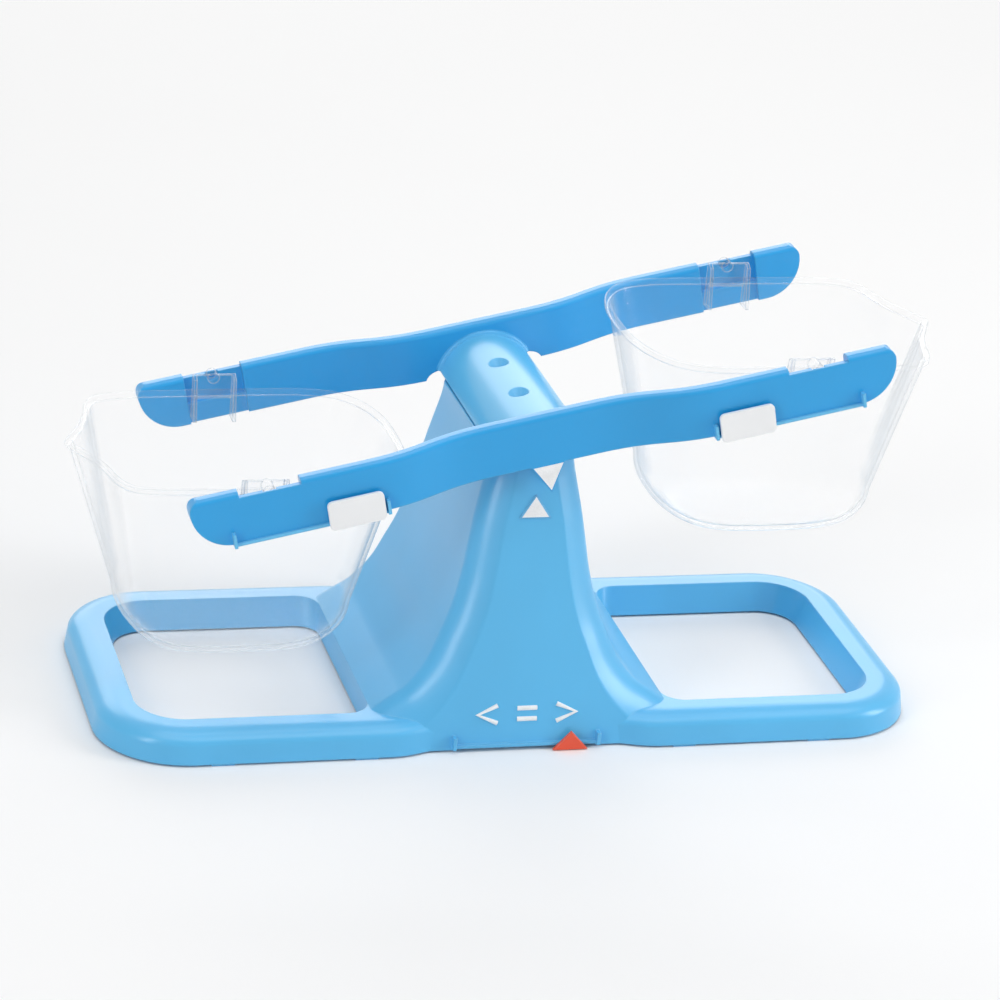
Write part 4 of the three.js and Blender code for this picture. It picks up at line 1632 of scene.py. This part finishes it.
    def hood(self) -> Solid:
        """Returns the hood with its two cones and two dimples.

        Returns:
            The hood.
        """
        arch = self.arch(0).line(*reversed(self.arch(self.hood_wall).points[1:]))
        reach = self.waist_half - self.thickness + self.wall / 2
        hood = Solid.prism(arch, Axis.BACK, -reach, reach)
        top, under = self.hood_rise, self.hood_rise - self.hood_wall
        slope = (self.dimple_radius - self.dimple_tip_radius) / self.dimple_depth
        cone = [(self.cone_tip_radius, 0), (self.cone_radius, under)]
        cone.append((self.cone_radius, under + self.cone_root))
        dimple = [(self.dimple_tip_radius, top - self.dimple_depth)]
        dimple.append((self.dimple_radius + slope * OVERRUN, top + OVERRUN))
        for facing in Facing:
            at = (0, facing.value * self.cone_place, 0)
            hood.join(Solid.turned(cone, at)).cut(Solid.turned(dimple, at))
        return hood

    def collars(self) -> Solid:
        """Returns the soft beads where the hood meets the arms.

        Returns:
            The beads, as one solid.
        """
        y = self.waist_half - self.thickness
        runs = [[(x, facing.value * y, z) for x, z in self.arch(0).closed()] for facing in Facing]
        return sweep("hood_collar", Solid.path(*runs), self.collar, MID_BLUE, self.collar_sides)

    def pointer(self) -> Solid:
        """Returns the pointer under the front arm.

        Returns:
            The pointer.
        """
        low, drop, half = -self.bottom_drop, self.pointer_drop, self.pointer_half
        tip = half / drop * self.fit_gap
        root = low + self.pointer_thickness
        outline = Outline((-half, root)).line((-half, low), (-tip, low - drop), (tip, low - drop))
        outline.line((half, low), (half, root))
        front = -self.waist_half
        return Solid.prism(outline, Axis.BACK, front, front + self.pointer_thickness)

    def lips(self, end: End) -> list[Solid]:
        """Returns the lip and the stops that a compensator rides on.

        Args:
            end: Which compensator.

        Returns:
            The lip and its two stops.
        """
        face, root = -self.outer_half, self.wall - self.outer_half
        low, start, stop = -self.bottom_drop - self.lip_drop, self.lip_start, self.lip_end

        def part(first: float, last: float, stand: float, height: float) -> Solid:
            """Returns one block of the lip or a stop, on the compensator's side."""
            x = (first, last) if end is End.RIGHT else (-last, -first)
            return Solid.block(x, (face - stand, root), (low, low + height))

        return [
            part(start, stop, self.lip_stand, self.lip_thickness),
            part(start, start + self.stop_width, self.stop_stand, self.stop_height),
            part(stop - self.stop_width, stop, self.stop_stand, self.stop_height),
        ]

    def build(self) -> bpy.types.Object:
        """Builds and dresses the beam.

        Returns:
            The beam's object.
        """
        beam = self.arm()
        front = beam.copy().moved(Matrix.Scale(-1, 4, (0, 1, 0)))
        beam.cut(self.relief()).join(front, self.hood(), self.collars(), self.pointer())
        for end in End:
            beam.join(*self.lips(end))
        return beam.moved(self.rest).piece("beam_moulding", MID_BLUE, self.body, "beam")


# Buckets


@dataclass
class Bucket:
    """A clear pouring bucket with a spout, a rim lip and two ears."""

    end: End
    spout_reach: float = 65.5
    inner_reach: float = 61.1
    half_width: float = 48.6
    wall: float = 1.7
    height: float = 78.0
    rim_drop: float = 3.0
    knuckle: float = 17.0
    lip: float = 0.9
    lip_height: float = 2.0
    ear_half: float = 8.5
    ear_outer: float = 53.15
    ear_top: float = 1.8
    plate_drop: float = 8.0
    rib: float = 1.4
    rib_root: float = 42.3
    rib_drop: float = 16.0
    pin_radius: float = 2.2
    pin_end: float = 58.5
    around: int = 168
    pin_around: int = 40
    crease: float = 40.0
    wall_steps: int = 24
    knuckle_steps: int = 14
    rim: tuple[Pair, ...] = (
        (1, 0), (0.955, 0.15), (0.885, 0.35), (0.838, 0.55), (0.8, 0.77), (0.735, 0.915), (0.6, 0.975),
        (0.2, 0.997), (-0.22, 1), (-0.58, 0.985), (-0.77, 0.9), (-0.9, 0.7), (-0.982, 0.38), (-1, 0),
    )
    belly: tuple[Pair, ...] = (
        (0.7, 0), (0.695, 0.12), (0.68, 0.25), (0.655, 0.4), (0.61, 0.56), (0.54, 0.67), (0.42, 0.74),
        (0.16, 0.77), (-0.16, 0.77), (-0.4, 0.745), (-0.56, 0.66), (-0.67, 0.5), (-0.735, 0.26),
        (-0.75, 0),
    )
    floor: tuple[Pair, ...] = (
        (0.4, 0), (0.397, 0.08), (0.388, 0.17), (0.37, 0.27), (0.34, 0.36), (0.29, 0.42), (0.21, 0.455),
        (0.08, 0.47), (-0.08, 0.47), (-0.21, 0.455), (-0.32, 0.4), (-0.39, 0.3), (-0.43, 0.16),
        (-0.44, 0),
    )
    outer_stop: float = 0.5
    inner_start: float = 0.7
    bead_under: tuple[Pair, ...] = ((0.1, -0.3), (0.35, -0.1), (0.7, 0.05))
    bead_foot: float = 0.4
    bead_over: tuple[Pair, ...] = ((0, -0.6), (-0.25, -0.15), (-0.7, 0))
    bead_inner: tuple[Pair, ...] = ((0.7, 0), (0.2, -0.2))

    @property
    def body(self) -> str:
        """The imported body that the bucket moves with."""
        return f"bucket_{self.end.name.lower()}"

    def knots(self, shares: Sequence[Pair], grow: float) -> np.ndarray:
        """Returns an outline's corners, let out by a distance.

        Args:
            shares: The corners of one half, as shares of the reach and the half width.
            grow: The distance.

        Returns:
            The corners of the whole outline.
        """
        half = []
        for along, across in shares:
            reach = self.spout_reach if along > 0 else self.inner_reach
            half.append((along * reach * (1 + grow / self.inner_reach),
                         across * self.half_width * (1 + grow / self.half_width)))
        return np.array(half + [(x, -y) for x, y in reversed(half[1:-1])])

    def ring(self, knots: np.ndarray, height: float) -> Ring:
        """Returns a smooth closed ring through the corners at a height.

        Args:
            knots: The corners.
            height: The height.

        Returns:
            The ring's points.
        """
        count = len(knots)
        ring = []
        for i in range(self.around):
            place = count * i / self.around
            k, t = int(place), place - int(place)
            p0, p1, p2, p3 = (knots[(k + j) % count] for j in (-1, 0, 1, 2))
            gaps = (p1 - p0, p2 - p1, p3 - p2)
            # Square roots of the distances keep the ring from looping at close corners.
            d0, d1, d2 = (max(np.dot(gap, gap) ** 0.25, 1e-4) for gap in gaps)
            leave = ((p1 - p0) / d0 - (p2 - p0) / (d0 + d1) + (p2 - p1) / d1) * d1
            arrive = ((p2 - p1) / d1 - (p3 - p1) / (d1 + d2) + (p3 - p2) / d2) * d1
            x, y = hermite(p1, p2, leave, arrive, t)
            ring.append((float(x), float(y), height))
        return ring

    def wall_rings(self, grow: float, floor_rise: float, top: float) -> list[Ring]:
        """Returns the rings of one face of the wall, from a height near the rim to the floor.

        Args:
            grow: How far the outline is let out.
            floor_rise: How far the floor lies above the outer floor.
            top: The height at which the rings start.

        Returns:
            The rings, from the top down.
        """
        rim, belly, floor = (self.knots(s, grow) for s in (self.rim, self.belly, self.floor))
        rim_height = -self.rim_drop
        floor_height = rim_height - self.height + floor_rise
        knuckle_height = floor_height + self.knuckle - floor_rise
        rings = []
        for step in range(self.wall_steps + 1):
            height = lerp(top, knuckle_height, step / self.wall_steps)
            share = (rim_height - height) / (rim_height - knuckle_height)
            rings.append(self.ring(rim + (belly - rim) * share, height))
        for step in range(1, self.knuckle_steps + 1):
            angle = step / self.knuckle_steps * QUARTER
            height = lerp(knuckle_height, floor_height, math.sin(angle))
            rings.append(self.ring(belly + (floor - belly) * (1 - math.cos(angle)), height))
        return rings

    def shell(self) -> Solid:
        """Returns the bucket's shell, with a rolled rim.

        Returns:
            The shell.
        """
        top, low = -self.rim_drop, -self.rim_drop - self.lip_height
        outer = self.wall_rings(0, 0, low - self.outer_stop)
        inner = self.wall_rings(-self.wall, self.wall, top - self.inner_start)
        bead = [(out, low + up) for out, up in self.bead_under]
        bead.append((self.lip, low + self.bead_foot))
        bead.extend((self.lip + out, top + up) for out, up in self.bead_over)
        bead.extend((out - self.wall, top + up) for out, up in self.bead_inner)
        rim = [self.ring(self.knots(self.rim, grow), height) for grow, height in bead]
        return Solid.loft(list(reversed(outer)) + rim + inner)

    def ear(self, facing: Facing) -> Solid:
        """Returns two sloping ribs, the plate between them and the pin.

        Args:
            facing: Which ear.

        Returns:
            The ear.
        """
        outer, inner = self.ear_outer, self.ear_outer - self.rib
        half, top = self.ear_half, self.ear_top

        def deep(low: float, high: float) -> Pair:
            """Returns the limits in Y of a part between two distances from the middle."""
            return (low, high) if facing is Facing.BACK else (-high, -low)

        ear = Solid.block((-half, half), deep(inner, outer), (-self.plate_drop, top))
        radius = self.pin_radius
        pin = Outline((radius, 0)).arc((0, 0), (radius, radius), 0, math.tau, self.pin_around)
        ear.join(Solid.prism(pin, Axis.BACK, *deep(inner, self.pin_end)))
        rib = Outline((self.rib_root, -self.rib_drop)).line((outer, -self.rib_drop), (outer, top))
        rib.line((inner, top), (self.rib_root, -self.rim_drop))
        for end in End:
            sides = (end.value * half, end.value * (half - self.rib))
            ear.join(Solid.loft([[(x, facing.value * y, z) for y, z in rib.points] for x in sides]))
        return ear

    def build(self) -> None:
        """Builds and dresses the bucket: its shell and its ears."""
        beam = BeamMoulding()
        hang = beam.rest @ Vector((self.end.value * beam.hang_place, 0, beam.hang_rise))
        turn = 0 if self.end is End.RIGHT else math.pi
        place = Matrix.Translation(hang) @ Matrix.Rotation(turn, 4, "Z")
        shell = self.shell().moved(place)
        shell.piece(f"{self.body}_shell", CLEAR, self.body, self.body, crease=self.crease, flat=0)
        for facing in Facing:
            ear = self.ear(facing).cut(Solid.loft(self.wall_rings(0, 0, self.lip_height)))
            ear.moved(place).piece(f"{self.body}_ear_{facing.name.lower()}", CLEAR, self.body)


# Sliders, signs and studio


@dataclass
class Compensator:
    """A white clip on the front arm's lip."""

    end: End
    length: float = 21.5
    height: float = 11.5
    corner: float = 2.0
    corner_steps: int = 12
    thickness: float = 1.7
    foot: float = 1.1
    leg_thickness: float = 1.0
    leg_height: float = 7.5
    stop_gap: float = 0.8
    edge: float = 0.3

    def plate(self, front: float, back: float, low: float) -> Solid:
        """Returns the rounded plate between two depths, standing at a height.

        Args:
            front: Where its front lies.
            back: Where its back lies.
            low: The height of its foot.

        Returns:
            The plate.
        """
        x, z, r = self.length / 2, self.height / 2, self.corner
        outline = Outline((x - r, -z))
        corners = ((x - r, r - z), (x - r, z - r), (r - x, z - r), (r - x, r - z))
        for turn, centre in enumerate(corners, -1):
            outline.arc(centre, (r, r), turn * QUARTER, (turn + 1) * QUARTER, self.corner_steps)
        return Solid.prism(outline, Axis.BACK, front, back).moved(Matrix.Translation((0, 0, low + z)))

    def build(self) -> bpy.types.Object:
        """Builds and dresses the clip.

        Returns:
            The clip's object.
        """
        beam = BeamMoulding()
        back = -beam.outer_half - beam.lip_stand - beam.fit_gap
        front = back - self.thickness
        top = -beam.bottom_drop - beam.lip_drop - beam.fit_gap
        low = top - self.foot
        behind = -beam.outer_half + beam.wall + beam.fit_gap
        leg = (behind, behind + self.leg_thickness)
        inset = (self.corner - self.length / 2, self.length / 2 - self.corner)
        clip = self.plate(front, back, low)
        clip.join(Solid.block(inset, (front + self.thickness / 2, leg[1]), (low, top)))
        clip.join(Solid.block(inset, leg, (low, low + self.leg_height)))
        start = beam.lip_start + beam.stop_width + self.stop_gap + self.length / 2
        clip.moved(beam.rest @ Matrix.Translation((self.end.value * start, 0, 0)))
        name = f"compensator_{self.end.name.lower()}"
        return clip.piece(f"{name}_clip", WHITE, name, name, edge=self.edge)


@dataclass
class Indicator:
    """The coral triangle at the foot of the tower."""

    half_width: float = 7.0
    height: float = 7.6
    place: float = 17.2
    thickness: float = 1.5
    foot: float = 0.9
    leg_thickness: float = 1.2
    leg_height: float = 5.0
    edge: float = 0.25

    def build(self) -> bpy.types.Object:
        """Builds and dresses the triangle and its clip.

        Returns:
            The clip's object.
        """
        base = BaseMoulding()
        back = base.face(base.track_lift) - base.track_stand - base.fit_gap
        front, top = back - self.thickness, base.track_lift - base.fit_gap
        low = top - self.foot
        leg_top = low + self.leg_height
        near = base.face(leg_top) + base.wall + base.fit_gap
        far = near + self.leg_thickness
        outline = Outline((-self.half_width, low)).line((self.half_width, low), (0, low + self.height))
        clip = Solid.prism(outline, Axis.BACK, front, back)
        x = (-self.half_width / 2, self.half_width / 2)
        clip.join(Solid.block(x, (front + self.thickness / 2, far), (low, top)))
        clip.join(Solid.block(x, (near, far), (low, leg_top)))
        clip.moved(Matrix.Translation((self.place, 0, 0)))
        return clip.piece("indicator_clip", CORAL, "indicator", "indicator", edge=self.edge)


@dataclass
class Signs:
    """The white comparison signs and the white faces of the two triangles."""

    spacing: float = 15.6
    height: float = 14.1
    half_width: float = 3.9
    half_height: float = 3.4
    bar_place: float = 2.1
    stroke: float = 1.0
    sunk: float = 0.3
    border: float = 0.4
    thickness: float = 0.12
    stroke_sides: int = 16

    def strokes(self) -> list[list[Pair]]:
        """Returns the strokes of the three signs, from the front, about the middle sign.

        Returns:
            The points of each stroke.
        """
        w, h, bar = self.half_width, self.half_height, self.bar_place
        less = [(w - self.spacing, h), (-w - self.spacing, 0.0), (w - self.spacing, -h)]
        equal = [[(-w, side * bar), (w, side * bar)] for side in (1, -1)]
        return [less, *equal, [(-x, z) for x, z in less]]

    def row(self, base: BaseMoulding) -> bpy.types.Object:
        """Builds the three raised signs along the tower's foot.

        Args:
            base: The base that carries them.

        Returns:
            The signs, as one object.
        """
        runs = []
        for stroke in self.strokes():
            heights = [self.height + z for _, z in stroke]
            runs.append([(x, base.face(up) + self.sunk, up) for (x, _), up in zip(stroke, heights)])
        bars = sweep("comparison_signs", Solid.path(*runs), self.stroke, WHITE_INK, self.stroke_sides)
        return bars.piece("comparison_signs", WHITE_INK, base.body)

    def drawn_in(self, half: float, height: float) -> tuple[float, float, float]:
        """Draws a triangle in by the border.

        Args:
            half: Half the width of its foot.
            height: Its height.

        Returns:
            The smaller triangle's half width, and the heights of its foot and its tip.
        """
        slant = math.hypot(half, height)
        inner = half * (1 - self.border / height) - self.border * slant / height
        return inner, self.border, height - self.border * slant / half

    def pad_face(self, base: BaseMoulding) -> bpy.types.Object:
        """Builds the white face of the triangle on the tower.

        Args:
            base: The base that carries it.

        Returns:
            The face's object.
        """
        half, low, high = self.drawn_in(base.pad_half, base.pad_apex - base.pad_base)
        low, high = base.pad_base + low, base.pad_base + high
        corners = [(-half, low), (half, low), (0.0, high)]
        rings = []
        for stand in (base.pad_stand - self.thickness, base.pad_stand + self.thickness):
            rings.append([(x, base.face(z) - stand, z) for x, z in corners])
        return Solid.loft(rings).piece("tower_triangle_face", WHITE_INK, base.body)

    def pointer_face(self, beam: BeamMoulding) -> bpy.types.Object:
        """Builds the white face of the pointer.

        Args:
            beam: The beam that carries it.

        Returns:
            The face's object.
        """
        half, low, high = self.drawn_in(beam.pointer_half, beam.pointer_drop)
        outline = Outline((-half, -beam.bottom_drop - low))
        outline.line((half, -beam.bottom_drop - low), (0.0, -beam.bottom_drop - high))
        y = -beam.waist_half
        face = Solid.prism(outline, Axis.BACK, y - self.thickness, y + self.thickness)
        return face.moved(beam.rest).piece("pointer_face", WHITE_INK, beam.body)

    def build(self) -> None:
        """Builds and dresses all of them."""
        base, beam = BaseMoulding(), BeamMoulding()
        self.row(base)
        self.pad_face(base)
        self.pointer_face(beam)


@dataclass(frozen=True)
class Lamp:
    """A soft flat lamp that faces the object.

    Attributes:
        name: The lamp's name.
        place: Where it hangs, in metres.
        size: Its width and height.
        power: Its power in watts.
    """

    name: str
    place: tuple[float, float, float]
    size: Pair
    power: float

    def hang(self, target: Vector) -> None:
        """Hangs the lamp and turns it to a target.

        Args:
            target: The point that it faces.
        """
        data = bpy.data.lights.new(self.name, "AREA")
        data.shape = "RECTANGLE"
        data.size, data.size_y = self.size
        data.energy = self.power
        lamp = bpy.data.objects.new(self.name, data)
        aim = Vector(self.place) - target
        turn = aim.to_track_quat("Z", "Y").to_matrix().to_4x4()
        lamp.matrix_world = Matrix.Translation(self.place) @ turn
        bpy.context.scene.collection.objects.link(lamp)


@dataclass
class Studio:
    """The pale floor, the soft lights and the camera.

    Attributes:
        azimuth: The camera's angle from the front, towards +X, in degrees.
        elevation: Its angle above the floor.
        roll: Its turn about its own line of sight.
        distance: How far it stands from the target, in metres.
        width: The width that the frame takes in at the target.
        target: The point at the middle of the frame.
        sensor: The width of the camera's sensor, in millimetres.
        sight: How far the camera sees, in metres.
        floor_tone: The displayed grey of the floor and the backdrop.
        floor_paler: How much paler the floor's clouds are.
        floor_clouds: Those clouds.
        floor_roughness: How dull the floor is.
        floor_shine: How strongly it mirrors.
        floor_fade: Where the floor starts to turn into an even backdrop, and where it has turned.
        floor_half: Half the floor's side, in metres.
        fill: The strength of the even light of the room.
        lamps: The lamps.
    """

    azimuth: float = -16.67
    elevation: float = 23.0
    roll: float = 5.3
    distance: float = 1.457
    width: float = 0.39
    target: tuple[float, float, float] = (0.0, 0.0, 0.076)
    sensor: float = 36.0
    sight: float = 50.0
    floor_tone: float = 0.97
    floor_paler: float = 0.01
    floor_clouds: Noise = Noise(3.0)
    floor_roughness: float = 0.8
    floor_shine: float = 0.1
    floor_fade: Pair = (0.5, 1.5)
    floor_half: float = 6.0
    fill: float = 0.26
    lamps: tuple[Lamp, ...] = (
        Lamp("right", (1.9, -0.7, 0.8), (0.6, 1.5), 22),
        Lamp("left", (-1.55, -1.05, 0.9), (0.4, 1.7), 13),
        Lamp("top", (0.2, -0.1, 2.2), (2.0, 2.0), 22),
        Lamp("rear", (0.3, 2.4, 1.2), (2.2, 1.6), 24),
    )

    def camera(self) -> None:
        """Places the camera at the photograph's viewing angle."""
        a, e, r = (math.radians(v) for v in (self.azimuth, self.elevation, self.roll))
        back = Vector((math.sin(a) * math.cos(e), -math.cos(a) * math.cos(e), math.sin(e)))
        right = Vector((math.cos(a), math.sin(a), 0))
        up = back.cross(right)
        right, up = right * math.cos(r) + up * math.sin(r), up * math.cos(r) - right * math.sin(r)
        data = bpy.data.cameras.new("camera")
        data.sensor_width = self.sensor
        data.lens = self.sensor * self.distance / self.width
        data.clip_end = self.sight
        camera = bpy.data.objects.new("camera", data)
        turn = Matrix((right, up, back)).transposed().to_4x4()
        camera.matrix_world = Matrix.Translation(Vector(self.target) + back * self.distance) @ turn
        bpy.context.scene.collection.objects.link(camera)
        bpy.context.scene.camera = camera

    def floor(self) -> None:
        """Lays the floor."""
        mesh = bpy.data.meshes.new("floor")
        half = self.floor_half
        corners = [(-half, -half, 0), (half, -half, 0), (half, half, 0), (-half, half, 0)]
        mesh.from_pydata(corners, [], [(0, 1, 2, 3)])
        floor = bpy.data.objects.new("floor", mesh)
        bpy.context.scene.collection.objects.link(floor)
        tree = Shader("floor")
        grain = self.floor_clouds.wire(tree)
        tone = (self.floor_tone,) * 3
        paler = tuple(min(1.0, t + self.floor_paler) for t in tone)
        colour = tree.mix(grain, linear(tone), linear(paler))
        inputs = {"Base Color": colour, "Roughness": self.floor_roughness}
        lit = tree.principled({**inputs, "Specular IOR Level": self.floor_shine})
        even = tree.node("ShaderNodeEmission", {}, {"Color": linear(tone)})
        away = tree.node("ShaderNodeVectorMath", {"operation": "LENGTH"}, {0: tree.point()}, "Value")
        share = away.step(*self.floor_fade) * self.seen(tree)
        mixed = tree.node("ShaderNodeMixShader", {}, {0: share, 1: lit, 2: even})
        mesh.materials.append(tree.close(mixed))

    @staticmethod
    def seen(tree: Graph) -> Wire:
        """Returns 1 for what the eye, a mirror or a glass sees, and 0 for what lights the object.

        Args:
            tree: The tree that takes it.

        Returns:
            The mask's wire.
        """
        outputs = ("Is Camera Ray", "Is Glossy Ray", "Is Transmission Ray")
        camera, glossy, through = (tree.node("ShaderNodeLightPath", {}, {}, name) for name in outputs)
        return (camera + glossy + through).clamp()

    def world(self) -> None:
        """Fills the room with even light, and shows a pale backdrop to the eye."""
        world = bpy.data.worlds.new("room")
        world.use_nodes = True
        tree = Graph(world.node_tree)
        white, tone = (1.0, 1.0, 1.0, 1.0), linear((self.floor_tone,) * 3)
        soft = tree.node("ShaderNodeBackground", {}, {"Color": white, "Strength": self.fill})
        shown = tree.node("ShaderNodeBackground", {}, {"Color": tone})
        mixed = tree.node("ShaderNodeMixShader", {}, {0: self.seen(tree), 1: soft, 2: shown})
        tree.end("ShaderNodeOutputWorld", "Surface", mixed)
        bpy.context.scene.world = world

    def build(self) -> None:
        """Sets up the studio."""
        bpy.context.scene.view_settings.view_transform = "Standard"
        self.camera()
        self.floor()
        for lamp in self.lamps:
            lamp.hang(Vector(self.target))
        self.world()


def main() -> None:
    """Builds the balance and its studio, in order."""
    logging.basicConfig(level=logging.INFO, format="%(name)s %(message)s")
    Studio().build()
    BaseMoulding().build()
    BeamMoulding().build()
    for end in End:
        Bucket(end).build()
        Compensator(end).build()
    Indicator().build()
    Signs().build()


if __name__ == "__main__":
    main()
